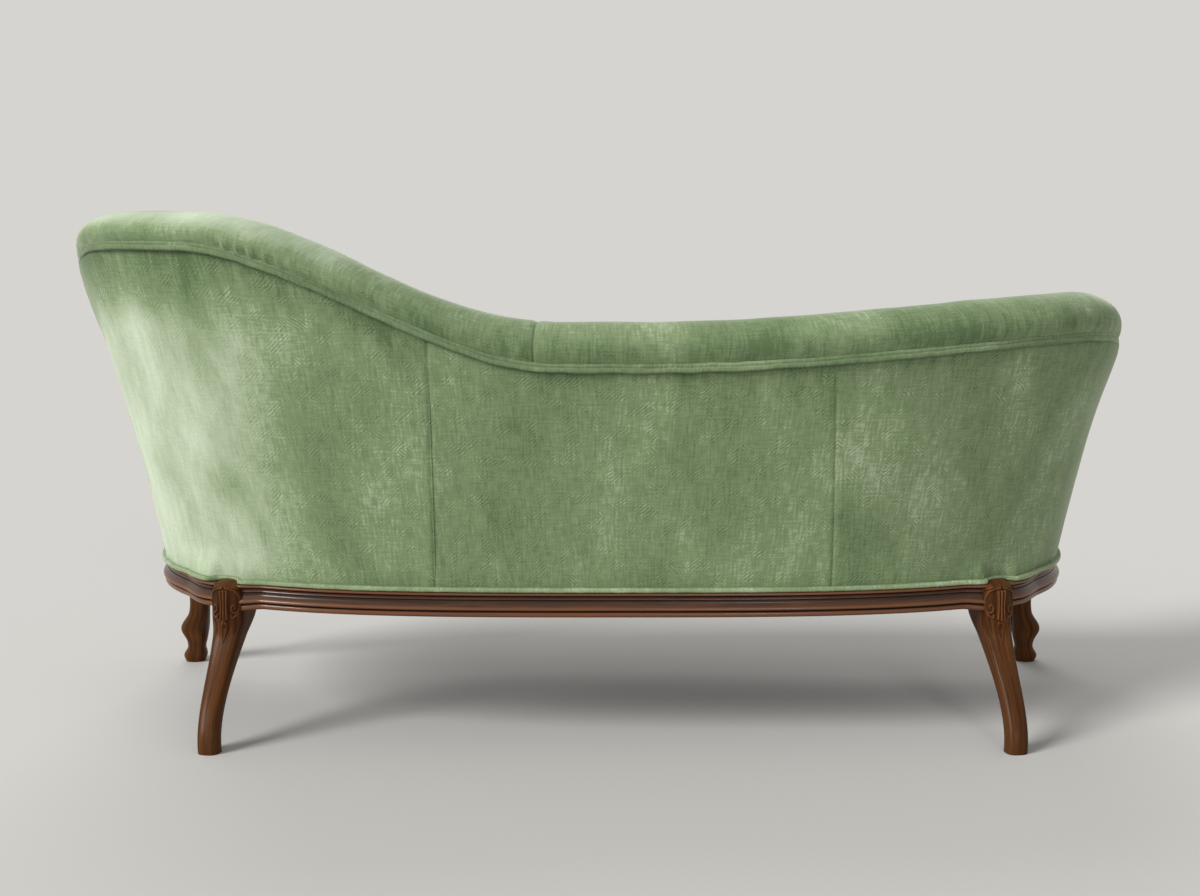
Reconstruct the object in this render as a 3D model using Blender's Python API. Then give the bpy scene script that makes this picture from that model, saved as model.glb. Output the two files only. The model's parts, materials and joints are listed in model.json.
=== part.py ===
"""Spoon-back settee: walnut show-wood seat frame, sprung seat, and a tub back whose roll rises at one end.

The back and arms follow one base line, a superellipse open to the front.  A place on them is given by
the run along that line from the middle of the back (positive towards the raised end), the distance
outwards from the line, and the height.  Layers that lie on each other share their stations along the run.
The model is built with that line centred on X = 0 and is then set with its origin under the middle of
its box, on the floor.  Metres, +Z up, the front facing -Y.
"""

import bisect
import math

import bmesh
import bpy
import numpy as np
from mathutils import Matrix, Vector, geometry

# Base line of the upholstery in plan
BASE_HALF_LENGTH = 0.815
BASE_DEPTH = 0.504
BASE_POWER = 3.2
BASE_FRONT = -0.235
ARM_REACH = 0.030
FRONT_BOW = 0.046

# Heights of the back's piping and of the roll above it
DIP_HEIGHT = 0.635
RAISED_HEIGHT = 0.824
LOW_HEIGHT = 0.675
ARM_END_HEIGHT = 0.460
RAISED_FOOT_RUN = 0.080
RAISED_PEAK_RUN = 0.600
LOW_FOOT_RUN = 0.060
LOW_PEAK_RUN = 0.750
ARM_FALL_RUN = 0.660
ARM_FALL_POWER = 1.76
ROLL_RISE = 0.070
RAISED_ROLL_RISE = 0.053
ROLL_NARROW_RUN = 0.340
ROLL_WIDTH = 0.096
ROLL_OVERHANG = 0.013
ROLL_CENTRE_SHARE = 0.4

# Lean of the wall: how far it has flared out at the reference height above its base
FLARE = 0.126
FLARE_HEIGHT = 0.560
FLARE_POWER = 1.2

# Seat rails and their mouldings, from the top of the show-wood down
RAIL_BOTTOM = 0.2215
TOP_BEAD = 0.005
COVE = 0.0085
TORUS = 0.016
TORUS_REACH = 0.0068
GROOVE = 0.0018
BOTTOM_BEAD = 0.0089
BEAD_REACH = 0.003
REBATE_HEIGHT = 0.035
RAIL_DEPTH = 0.045
SHOW_WOOD_REACH = 0.007
SIDE_REACH = 0.001
SIDE_REACH_RUN = 0.160
TENON_THICKNESS = 0.012
TENON_HEIGHT = 0.040
TENON_LENGTH = 0.024
TENON_SETBACK = 0.006
RAIL_SETBACK = 0.010
RAIL_ENTRY = 0.004
FRONT_TENON_ENTRY = 0.014

# Legs
REAR_LEG_FROM_ARM = 0.482
REAR_LEG_TURN = math.radians(11)
REAR_HEAD_WIDTH = 0.046
REAR_BLOCK_WIDTH = 0.056
REAR_BLOCK_REACH = 0.034
REAR_BLOCK_LIP = 0.004
REAR_CAP_HEIGHT = 0.008
REAR_CAP_DEPTH = 0.017
REAR_SWEEP_SETBACK = 0.008
REAR_SWEEP_RUN = 0.055
REAR_BRACKET_WIDTH = 0.060
REAR_BRACKET_DEPTH = 0.074
REAR_BOW = 0.006
REAR_SPLAY = 0.120
REAR_TAPER_POWER = 2.6
FRONT_BLOCK_REACH = 0.017
FRONT_BLOCK_LIP = 0.003
FRONT_KNEE_WIDTH = 0.054
FRONT_SHANK_WIDTH = 0.039
FRONT_SCROLL_WIDTH = 0.052
FRONT_ANKLE_WIDTH = 0.034
FRONT_TOE_WIDTH = 0.044
FRONT_SPLAY = 0.026
FRONT_SIDE_SPLAY = 0.018
FOOT_WIDTH = 0.036
HEAD_SETBACK = 0.012
HEAD_SQUARENESS = 6.0
SHANK_SQUARENESS = 2.6
ROOM_SQUARENESS = 24.0

# Frame inside the upholstery
POST_WIDTH = 0.036
FRAME_THICKNESS = 0.030
TOP_RAIL_HEIGHT = 0.034
TOP_RAIL_RISE = 0.004
BACK_POST_RUN = 0.340
CORNER_POST_FROM_LEG = 0.070
ARM_POST_INSET = 0.034
CORNER_BLOCK_LEG = 0.095
CORNER_BLOCK_MARGIN = 0.006
SCREW_DIAMETER = 0.005
SCREW_HEAD_DIAMETER = 0.010
SCREW_TIP_DIAMETER = 0.002
SCREW_LENGTH = 0.040
SCREW_SINK = 0.006
SCREW_OVER_TENON = 0.0045
FRONT_SCREW_SHARE = 0.25

# Upholstery layers
COVER_THICKNESS = 0.003
HESSIAN_THICKNESS = 0.0015
PIPING_RADIUS = 0.007
GIMP_RADIUS = 0.004
LIP_TUCK = 0.004
INSIDE_LINE = 0.085
INSIDE_BELLY = 0.014
INSIDE_SEAM_RUN = 0.113
OUTSIDE_SEAM_HIGH_RUN = 0.250
OUTSIDE_SEAM_LOW_RUN = 0.311
FACING_THICKNESS = 0.014
FACING_EDGE = 0.007
FACING_ROUNDING = 0.010

# Seat
SEAT_EDGE_HEIGHT = 0.376
SEAT_CROWN = 0.030
SEAT_CROWN_POWER = 4
SEAT_FRONT_ROUNDING = 0.030
SEAT_FRONT_BELLY = 0.004
SEAT_BACK_ROUNDING = 0.012
SEAT_SIDE_GAP = 0.004
SEAT_END_SHARE = 0.998
WEB_WIDTH = 0.050
WEB_THICKNESS = 0.0016
CROSS_WEBS = 4
LONG_WEBS = 2
CROSS_WEB_SPACING = 0.270
LONG_WEB_SPACING = 0.190
LONG_WEB_MIDDLE = -0.060
WEB_LAP = 0.026
WEB_EASE = 0.004
SPRING_WIRE = 0.0032
SPRING_RADIUS = 0.042
SPRING_WAIST = 0.030
SPRING_TURNS = 4
DUST_COVER_INSET = 0.022
DUST_COVER_THICKNESS = 0.001

# Fits
CLEARANCE = 0.0003
LAYER_GAP = 0.0004
SEAM_GAP = 0.0006

# Steps of the faceted shapes
STATION_STEP = 0.085
STATION_MERGE = 0.0012
SLOPE_STEP = 0.004
ROLL_STEPS = 7
ROLL_START_LIMIT = -0.95
TORUS_STEPS = 5
SWEEP_STEPS = 4
INSIDE_STEPS = 3
WALL_STEPS = 3
SEAT_STATIONS = 17
SEAT_STEPS = 4
SEAT_LAST_STEP = 0.87
SPRING_POINTS_PER_TURN = 8
LEG_SIDES = 16
REAR_LEG_ROWS = 8
SCREW_SIDES = 8
SHARP_ANGLE = math.radians(40)
STRAIGHT_ANGLE = math.radians(0.1)
WELD_DISTANCE = 0.00002

# Heights and depths that follow from the sizes above
SHOW_WOOD_HEIGHT = TOP_BEAD + COVE + TORUS + GROOVE + BOTTOM_BEAD
LEDGE = RAIL_BOTTOM + SHOW_WOOD_HEIGHT
RAIL_TOP = LEDGE + REBATE_HEIGHT
REBATE = COVER_THICKNESS + CLEARANCE
SEAT_DECK = RAIL_TOP + CLEARANCE + HESSIAN_THICKNESS
UPHOLSTERY_FOOT = SEAT_DECK + CLEARANCE
BASE_HEIGHT = LEDGE + CLEARANCE
BORDER_TOP = RAIL_TOP + CLEARANCE
FRAME_FACE = COVER_THICKNESS + LAYER_GAP
HESSIAN_FACE = FRAME_FACE + FRAME_THICKNESS + LAYER_GAP
FRONT_LINE = BASE_FRONT - ARM_REACH - LAYER_GAP - FACING_THICKNESS
FRONT_RAIL_DEPTH = BASE_FRONT - FRONT_LINE - 3 * CLEARANCE
FRONT_BLOCK_INNER = BASE_HALF_LENGTH - RAIL_DEPTH - FRONT_BLOCK_LIP
RAIL_MIDDLE = (RAIL_BOTTOM + RAIL_TOP) / 2
CORNER_BLOCK_HEIGHT = RAIL_TOP - RAIL_BOTTOM - 2 * CORNER_BLOCK_MARGIN
WEB_STEP = (WEB_THICKNESS + CLEARANCE) / 2
WEB_LEVEL = RAIL_BOTTOM - CLEARANCE - WEB_THICKNESS / 2 - WEB_STEP
ENDS = (("high", 1), ("low", -1))

WALNUT = ("walnut_show_wood", (0.075, 0.030, 0.014), 0.38, 0.0)
BEECH = ("beech_frame", (0.520, 0.360, 0.210), 0.60, 0.0)
VELVET = ("sage_velvet", (0.190, 0.245, 0.140), 0.85, 0.0)
PIPING_VELVET = ("piping_velvet", (0.110, 0.150, 0.085), 0.85, 0.0)
STUFFING = ("hair_stuffing", (0.090, 0.070, 0.055), 0.95, 0.0)
HESSIAN = ("hessian", (0.420, 0.310, 0.180), 0.95, 0.0)
WEBBING = ("jute_webbing", (0.480, 0.360, 0.220), 0.90, 0.0)
CAMBRIC = ("black_cambric", (0.020, 0.020, 0.022), 0.90, 0.0)
SPRING_STEEL = ("spring_steel", (0.350, 0.340, 0.330), 0.40, 1.0)
SCREW_STEEL = ("screw_steel", (0.450, 0.440, 0.420), 0.35, 1.0)


# Base line, lean and rim


def smooth(share):
    """An S-shaped share: 0 below 0, 1 above 1, level at both ends."""
    share = min(max(share, 0.0), 1.0)
    return share * share * (3.0 - 2.0 * share)


def base_table(samples=4000):
    """Angles round the superellipse and the run along the base line at each of them."""
    even = np.linspace(0.0, 1.0, samples)
    angles = 0.5 * math.pi * even * even * (3.0 - 2.0 * even)
    along = BASE_HALF_LENGTH * np.sin(angles) ** (2.0 / BASE_POWER)
    back = BASE_DEPTH * np.cos(angles) ** (2.0 / BASE_POWER)
    runs = np.concatenate(([0.0], np.cumsum(np.hypot(np.diff(along), np.diff(back)))))
    return angles, runs


BASE_ANGLES, BASE_RUNS = base_table()
CURVE_RUN = float(BASE_RUNS[-1])
END_RUN = CURVE_RUN + ARM_REACH
ARM_POST_RUN = END_RUN - ARM_POST_INSET
REAR_LEG_RUN = CURVE_RUN - REAR_LEG_FROM_ARM
CORNER_POST_RUN = REAR_LEG_RUN + CORNER_POST_FROM_LEG


def curve_point(run, out):
    """X and Y on the smooth base line, moved outwards."""
    angle = float(np.interp(min(abs(run), CURVE_RUN), BASE_RUNS, BASE_ANGLES))
    side = math.copysign(math.sin(angle) ** (2.0 / BASE_POWER), run)
    back = max(math.cos(angle), 0.0) ** (2.0 / BASE_POWER)
    past_curve = max(abs(run) - CURVE_RUN, 0.0)
    return (BASE_HALF_LENGTH + out) * side, BASE_FRONT + (BASE_DEPTH + out) * back - past_curve


def lean(height):
    """How far the outside of the wall lies out from the base line at a height."""
    above = max(height - BASE_HEIGHT, 0.0)
    return FLARE * (above / FLARE_HEIGHT) ** FLARE_POWER


def lean_stretch(height):
    """How much a level cut through the leaning wall is wider than a square cut."""
    above = max(height - BASE_HEIGHT, 0.0)
    slope = FLARE * FLARE_POWER / FLARE_HEIGHT * (above / FLARE_HEIGHT) ** (FLARE_POWER - 1.0)
    return math.hypot(1.0, slope)


def rim_height(run):
    """Height of the piping under the roll."""
    raised = smooth((run - RAISED_FOOT_RUN) / (RAISED_PEAK_RUN - RAISED_FOOT_RUN))
    rim = DIP_HEIGHT + (RAISED_HEIGHT - DIP_HEIGHT) * raised
    rim += (LOW_HEIGHT - DIP_HEIGHT) * smooth((-run - LOW_FOOT_RUN) / (LOW_PEAK_RUN - LOW_FOOT_RUN))
    fallen = max(abs(run) - ARM_FALL_RUN, 0.0) / (END_RUN - ARM_FALL_RUN)
    return rim + (ARM_END_HEIGHT - rim) * smooth(fallen ** ARM_FALL_POWER)


def rim_stretch(run):
    """How much an upright cut through a sloping rim is taller than a square cut."""
    slope = (rim_height(run + SLOPE_STEP) - rim_height(run - SLOPE_STEP)) / (2.0 * SLOPE_STEP)
    return math.hypot(1.0, slope)


def roll_rise(run):
    """Height of the roll above the piping, kept full where the arms fall steeply."""
    narrowed = smooth((run - RAISED_FOOT_RUN) / (ROLL_NARROW_RUN - RAISED_FOOT_RUN))
    rise = ROLL_RISE + (RAISED_ROLL_RISE - ROLL_RISE) * narrowed
    on_arm = smooth((abs(run) - ARM_FALL_RUN) / (CURVE_RUN - ARM_FALL_RUN))
    return rise * (1.0 + (rim_stretch(run) - 1.0) * on_arm)


def front_line(across):
    """Y of the upholstery's front at a distance across, bowed forward between the arms."""
    inside = BASE_HALF_LENGTH - INSIDE_LINE
    return FRONT_LINE - FRONT_BOW * smooth(1.0 - abs(across) / inside)


def rim_stations():
    """Runs shared by every layer of the back: edges of posts, seams, ends and even steps between."""
    marks = [END_RUN, 0.0, -CURVE_RUN, CURVE_RUN]
    marks += [INSIDE_SEAM_RUN, OUTSIDE_SEAM_HIGH_RUN, -OUTSIDE_SEAM_LOW_RUN]
    for middle, reach in ((BACK_POST_RUN, POST_WIDTH / 2), (CORNER_POST_RUN, POST_WIDTH / 2),
                          (ARM_POST_RUN, POST_WIDTH / 2), (REAR_LEG_RUN, CORNER_BLOCK_LEG),
                          (CORNER_POST_RUN, 0.0)):
        for edge in (middle - reach, middle + reach):
            marks += [edge, -edge]
    stations = [-END_RUN]
    for mark in sorted(marks):
        start = stations[-1]
        gap = mark - start
        if gap > STATION_MERGE:
            pieces = math.ceil(gap / STATION_STEP)
            stations += [start + gap * piece / pieces for piece in range(1, pieces + 1)]
    return stations


STATIONS = rim_stations()


def plan(run, out):
    """X and Y of a place on the base line as it is faceted between the shared stations."""
    after = min(max(bisect.bisect_right(STATIONS, run), 1), len(STATIONS) - 1)
    start, end = STATIONS[after - 1], STATIONS[after]
    share = (run - start) / (end - start)
    first = Vector(curve_point(start, out))
    return tuple(first.lerp(Vector(curve_point(end, out)), share))


def place(run, out, height):
    """A point of the tub back."""
    return Vector((*plan(run, out), height))


def span(start, end):
    """The shared stations from one run to another, both ends included."""
    inner = [run for run in STATIONS if start + STATION_MERGE < run < end - STATION_MERGE]
    return [start] + inner + [end]


# Sections of the back's layers, as points of distance outwards and height


def post_levels(run):
    """Heights up the frame, from the seat deck to the top rail's underside."""
    top = rim_height(run) + TOP_RAIL_RISE - TOP_RAIL_HEIGHT
    return [UPHOLSTERY_FOOT + (top - UPHOLSTERY_FOOT) * step / WALL_STEPS for step in range(WALL_STEPS + 1)]


def wall_section(run, inset):
    """Outside cover's face from the show-wood up to the piping."""
    heights = [BASE_HEIGHT] + post_levels(run)[1:] + [rim_height(run) + LIP_TUCK / 2]
    return [(lean(height) - inset, height) for height in heights]


def roll_section(run):
    """Inside cover's face: tucked over the piping, round the roll and down the inside to the seat."""
    rim = rim_height(run)
    wall = lean(rim)
    stretch = rim_stretch(run)
    rise = roll_rise(run)
    lip = PIPING_RADIUS * stretch + LAYER_GAP
    half_width = ROLL_WIDTH / 2
    centre = wall + ROLL_OVERHANG - half_width
    middle = rim + ROLL_CENTRE_SHARE * rise
    half_height = rise * (1.0 - ROLL_CENTRE_SHARE)
    start = math.asin(max((lip - ROLL_CENTRE_SHARE * rise) / half_height, ROLL_START_LIMIT))
    points = [(wall - LIP_TUCK, rim + lip)]
    for step in range(ROLL_STEPS):
        angle = start + (math.pi - start) * step / (ROLL_STEPS - 1)
        points.append((centre + half_width * math.cos(angle), middle + half_height * math.sin(angle)))
    for step in range(1, INSIDE_STEPS + 1):
        share = step / INSIDE_STEPS
        out = centre - half_width + (-INSIDE_LINE - centre + half_width) * share
        out -= INSIDE_BELLY * math.sin(math.pi * share)
        points.append((out, middle + (UPHOLSTERY_FOOT - middle) * share))
    return points


def inset_line(points, depth):
    """A line of section points moved to its left by a depth."""
    moved = []
    last = len(points) - 1
    for index, point in enumerate(points):
        before = points[max(index - 1, 0)]
        after = points[min(index + 1, last)]
        along = Vector((after[0] - before[0], after[1] - before[1])).normalized()
        moved.append((point[0] - along.y * depth, point[1] + along.x * depth))
    return moved


def lower_end(points, height):
    """A section line whose last point stands at a set height."""
    return points[:-1] + [(points[-1][0], height)]


def cover_inside(run, depth):
    """Inside cover's face moved in by a depth, still ending level at the seat."""
    return lower_end(inset_line(roll_section(run), depth), UPHOLSTERY_FOOT)


def frame_side(run):
    """The stuffing's side towards the frame: over the top rail and down the hessian."""
    rim = rim_height(run)
    top = rim + TOP_RAIL_RISE + LAYER_GAP * rim_stretch(run)
    points = [(lean(rim) - LIP_TUCK - 2 * LAYER_GAP, top)]
    for height in [top] + post_levels(run)[::-1]:
        points.append((lean(height) - HESSIAN_FACE - HESSIAN_THICKNESS - LAYER_GAP, height))
    return points


def hessian_side(run, inset):
    """One face of the back's hessian, from the top rail's top down to the seat."""
    heights = [rim_height(run) + TOP_RAIL_RISE] + post_levels(run)[::-1]
    return [(lean(height) - HESSIAN_FACE - inset, height) for height in heights]


# Meshes and objects


def clear_scene():
    for old in list(bpy.data.objects):
        bpy.data.objects.remove(old, do_unlink=True)


def new_collection(name):
    collection = bpy.data.collections.new(name)
    bpy.context.scene.collection.children.link(collection)
    return collection


def material(finish):
    """The Principled material of a finish, made once."""
    name, colour, roughness, metallic = finish
    made = bpy.data.materials.get(name)
    if made is None:
        made = bpy.data.materials.new(name)
        made.use_nodes = True
        shader = made.node_tree.nodes["Principled BSDF"]
        shader.inputs["Base Color"].default_value = (*colour, 1.0)
        shader.inputs["Roughness"].default_value = roughness
        shader.inputs["Metallic"].default_value = metallic
    return made


def add_mesh(name, bm, finish):
    """A named part from a bmesh; with no finish it is a cutter."""
    bmesh.ops.recalc_face_normals(bm, faces=bm.faces)
    mesh = bpy.data.meshes.new(name)
    bm.to_mesh(mesh)
    bm.free()
    mesh.shade_smooth()
    mesh.set_sharp_from_angle(angle=SHARP_ANGLE)
    made = bpy.data.objects.new(name, mesh)
    if finish is None:
        CUTTERS.objects.link(made)
        made.hide_render = True
        made.display_type = "WIRE"
    else:
        PARTS.objects.link(made)
        mesh.materials.append(material(finish))
    return made


def loft(name, rings, finish, split=None):
    """A closed body through rings of equal count.

    Faces are cut into triangles along one diagonal up to the split, and along the other past it, so
    that two faces lying on each other are cut alike.
    """
    bm = bmesh.new()
    loops = [[bm.verts.new(point) for point in ring] for ring in rings]
    count = len(loops[0])
    split = count if split is None else split
    for near, far in zip(loops, loops[1:]):
        for index in range(count):
            following = (index + 1) % count
            if index < split:
                bm.faces.new((near[index], near[following], far[following]))
                bm.faces.new((near[index], far[following], far[index]))
            else:
                bm.faces.new((near[index], near[following], far[index]))
                bm.faces.new((near[following], far[following], far[index]))
    bm.faces.new(list(reversed(loops[0])))
    bm.faces.new(loops[-1])
    return add_mesh(name, bm, finish)


def layer(name, runs, outer, inner, finish):
    """A layer of the back between two section lines, both drawn from the outside over the top."""
    rings = []
    for run in runs:
        face = outer(run)
        ring = face + list(reversed(inner(run)))
        rings.append([place(run, *point) for point in ring])
    return loft(name, rings, finish, split=len(face) - 1)


def tube(name, points, radius, finish, resolution=1):
    """A round tube along points, as a mesh with its caps welded."""
    curve = bpy.data.curves.new(name, "CURVE")
    curve.dimensions = "3D"
    curve.bevel_depth = radius
    curve.bevel_resolution = resolution
    curve.use_fill_caps = True
    spline = curve.splines.new("POLY")
    spline.points.add(len(points) - 1)
    for spot, point in zip(spline.points, points):
        spot.co = (*point, 1.0)
    return curve_part(name, curve, finish)


def curve_part(name, curve, finish):
    """A curve turned into a welded mesh part."""
    drawn = bpy.data.objects.new(name + "_line", curve)
    bpy.context.scene.collection.objects.link(drawn)
    evaluated = drawn.evaluated_get(bpy.context.evaluated_depsgraph_get())
    mesh = bpy.data.meshes.new_from_object(evaluated)
    bpy.data.objects.remove(drawn, do_unlink=True)
    bm = bmesh.new()
    bm.from_mesh(mesh)
    bpy.data.meshes.remove(mesh)
    bmesh.ops.remove_doubles(bm, verts=bm.verts, dist=WELD_DISTANCE)
    return add_mesh(name, bm, finish)


def turning_points(outline):
    """An outline without the points that lie on a straight stretch of it."""
    kept = []
    for index, point in enumerate(outline):
        before = Vector(point) - Vector(outline[index - 1])
        after = Vector(outline[(index + 1) % len(outline)]) - Vector(point)
        if before.angle(after) > STRAIGHT_ANGLE:
            kept.append(point)
    return kept


def flat(name, outline, bottom, thickness, finish):
    """A flat piece: a plan outline filled and given a thickness upwards."""
    outline = turning_points(outline)
    curve = bpy.data.curves.new(name, "CURVE")
    curve.dimensions = "2D"
    curve.fill_mode = "BOTH"
    curve.extrude = thickness / 2
    spline = curve.splines.new("POLY")
    spline.points.add(len(outline) - 1)
    for spot, (across, back) in zip(spline.points, outline):
        spot.co = (across, back, 0.0, 1.0)
    spline.use_cyclic_u = True
    made = curve_part(name, curve, finish)
    made.location.z = bottom + thickness / 2
    return made


def boolean(target, tool, operation="DIFFERENCE"):
    """Cut a part with a tool, or join them."""
    modifier = target.modifiers.new(tool.name, "BOOLEAN")
    modifier.object = tool
    modifier.operation = operation
    modifier.solver = "EXACT"


# Seat frame


def rail_section(depth, reach):
    """Rail's section: inner face, rebated tacking edge, bead, cove, torus, groove and bottom bead."""
    points = [(-depth, RAIL_BOTTOM), (-depth, RAIL_TOP), (-REBATE, RAIL_TOP), (-REBATE, LEDGE)]
    height = LEDGE
    points += [(reach, height), (reach + BEAD_REACH, height - TOP_BEAD / 2), (reach, height - TOP_BEAD)]
    height -= TOP_BEAD + COVE
    points.append((reach - BEAD_REACH, height))
    for step in range(1, TORUS_STEPS):
        angle = math.pi * step / TORUS_STEPS
        points.append((reach + TORUS_REACH * math.sin(angle), height - TORUS * (1 - math.cos(angle)) / 2))
    height -= TORUS + GROOVE
    points.append((reach - GROOVE, height))
    points += [(reach + BEAD_REACH, height - BOTTOM_BEAD / 2), (reach, RAIL_BOTTOM)]
    return points


def rail_reach(run):
    """How far the moulding stands out: less along the sides, more where it sweeps out to a rear leg."""
    beyond = abs(run) - REAR_LEG_RUN
    reach = SHOW_WOOD_REACH + (SIDE_REACH - SHOW_WOOD_REACH) * smooth(beyond / SIDE_REACH_RUN)
    from_block = abs(beyond) - REAR_BLOCK_WIDTH / 2
    swept = REAR_BLOCK_REACH - REAR_SWEEP_SETBACK - SHOW_WOOD_REACH
    return reach + swept * (1.0 - smooth(from_block / REAR_SWEEP_RUN))


def back_or_side_rail(name, start, end):
    """A rail along the base line, with more rings where it sweeps out to a leg."""
    runs = span(start, end)
    for side in (-1, 1):
        for way in (-1, 1):
            for step in range(SWEEP_STEPS + 1):
                off = REAR_BLOCK_WIDTH / 2 + REAR_SWEEP_RUN * step / SWEEP_STEPS
                runs.append(side * REAR_LEG_RUN + way * off)
    rings = []
    last = -math.inf
    for run in sorted(run for run in runs if start <= run <= end):
        if run - last > STATION_MERGE or run == end:
            rings.append([place(run, *point) for point in rail_section(RAIL_DEPTH, rail_reach(run))])
            last = run
    return loft(name, rings, WALNUT)


def front_point(across, out, height):
    return Vector((across, front_line(across) - out, height))


def front_stations(end):
    """Distances across shared by what follows the front, out to an end on each side."""
    count = 2 * math.ceil(BASE_HALF_LENGTH / STATION_STEP)
    even = [BASE_HALF_LENGTH * (2 * index / count - 1) for index in range(count + 1)]
    return [-end] + [across for across in even if abs(across) < end - CLEARANCE] + [end]


def front_rail(end):
    rings = []
    for across in front_stations(end):
        section = rail_section(FRONT_RAIL_DEPTH, SHOW_WOOD_REACH)
        rings.append([front_point(across, *point) for point in section])
    return loft("front_rail", rings, WALNUT)


def tenon_section(grow):
    """Corners of a tenon, or of its mortise when grown, in the middle of the rail."""
    middle = -(RAIL_DEPTH + REBATE) / 2
    half = TENON_THICKNESS / 2 + grow
    tall = TENON_HEIGHT / 2 + grow
    return [(middle - half, RAIL_MIDDLE - tall), (middle + half, RAIL_MIDDLE - tall),
            (middle + half, RAIL_MIDDLE + tall), (middle - half, RAIL_MIDDLE + tall)]


def tenon_joint(piece, leg, name, point_at, start, stop):
    """A straight tenon joined to a rail between two places along it, and its mortise cut in the leg."""
    for grow, target, operation in ((0.0, piece, "UNION"), (CLEARANCE, leg, "DIFFERENCE")):
        spots = (min(start, stop) - grow, max(start, stop) + grow)
        rings = [[point_at(spot, *corner) for corner in tenon_section(grow)] for spot in spots]
        boolean(target, loft(f"{name}_{operation.lower()}", rings, None), operation)


def block_ring(centre, turn, width, depth, height, squareness, grow=0.0):
    """A rounded rectangle at a height, turned in plan."""
    ring = []
    for side in range(LEG_SIDES):
        angle = 2.0 * math.pi * (side + 0.5) / LEG_SIDES
        local = []
        for value, size in ((math.cos(angle), width), (math.sin(angle), depth)):
            local.append(math.copysign(abs(value) ** (2.0 / squareness), value) * (size / 2 + grow))
        spun = Matrix.Rotation(turn, 2) @ Vector(local)
        ring.append(Vector((centre.x + spun.x, centre.y + spun.y, height)))
    return ring


class Leg:
    """A leg: a head that the rails enter, a block at the knee, then rows of rings down to the foot."""

    def __init__(self, name, turn, head, head_size, knee, knee_size, rows):
        self.name = name
        self.turn = turn
        self.head = head
        self.head_size = head_size
        self.knee = knee
        self.knee_size = knee_size
        self.rows = rows

    def build(self):
        """The leg from its head, behind the cover, down over the knee to the foot."""
        rings = []
        for height in (RAIL_TOP, LEDGE):
            rings.append(block_ring(self.head, self.turn, *self.head_size, height, HEAD_SQUARENESS))
        for height in (LEDGE - CLEARANCE, RAIL_BOTTOM):
            rings.append(block_ring(self.knee, self.turn, *self.knee_size, height, HEAD_SQUARENESS))
        for centre, size, height, squareness in self.rows:
            rings.append(block_ring(centre, self.turn, *size, height, squareness))
        return loft(self.name, rings, WALNUT)

    def room(self, suffix, centre, size):
        """A square cutter that leaves room for the leg where it passes the frame."""
        rings = []
        for height in (RAIL_TOP + REBATE_HEIGHT, RAIL_BOTTOM - REBATE_HEIGHT):
            rings.append(block_ring(centre, self.turn, *size, height, ROOM_SQUARENESS, CLEARANCE))
        return loft(self.name + suffix, rings, None)


def rear_leg(name, side):
    """A rear leg with a thick bracket under its knee, bowed outwards and swept back to its foot."""
    base = Vector(plan(side * REAR_LEG_RUN, 0.0))
    turn = -side * REAR_LEG_TURN
    outward = Vector((side * math.sin(REAR_LEG_TURN), math.cos(REAR_LEG_TURN)))
    inward = Vector((-side * math.cos(REAR_LEG_TURN), math.sin(REAR_LEG_TURN)))
    head_depth = RAIL_DEPTH + REAR_BLOCK_LIP - HEAD_SETBACK
    head = base - outward * (head_depth / 2 + HEAD_SETBACK)
    knee_depth = RAIL_DEPTH + REAR_BLOCK_LIP + REAR_BLOCK_REACH
    knee = base + outward * (REAR_BLOCK_REACH - knee_depth / 2)
    rows = []
    for row in range(REAR_LEG_ROWS):
        share = 1.0 - row / (REAR_LEG_ROWS - 1)
        centre = knee + outward * REAR_SPLAY * (1.0 - smooth(share))
        centre -= inward * REAR_BOW * math.sin(math.pi * share)
        thick = share ** REAR_TAPER_POWER
        bracket = (REAR_BRACKET_WIDTH, REAR_BRACKET_DEPTH)
        size = [FOOT_WIDTH + (full - FOOT_WIDTH) * thick for full in bracket]
        squareness = SHANK_SQUARENESS + (HEAD_SQUARENESS - SHANK_SQUARENESS) * thick
        rows.append((centre, size, (RAIL_BOTTOM - CLEARANCE) * share, squareness))
    return Leg(name, turn, head, (REAR_HEAD_WIDTH, head_depth), knee, (REAR_BLOCK_WIDTH, knee_depth), rows)


def rear_cap(leg):
    """The cap of a rear block, standing above the rail outside the gimp."""
    outward = (leg.knee - leg.head).normalized()
    centre = leg.knee + outward * (leg.knee_size[1] - REAR_CAP_DEPTH) / 2
    rings = []
    for height in (LEDGE + REAR_CAP_HEIGHT, LEDGE - REAR_CAP_HEIGHT):
        rings.append(block_ring(centre, leg.turn, REAR_HEAD_WIDTH, REAR_CAP_DEPTH, height, HEAD_SQUARENESS,
                                -CLEARANCE))
    return loft(leg.name + "_cap", rings, None)


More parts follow.
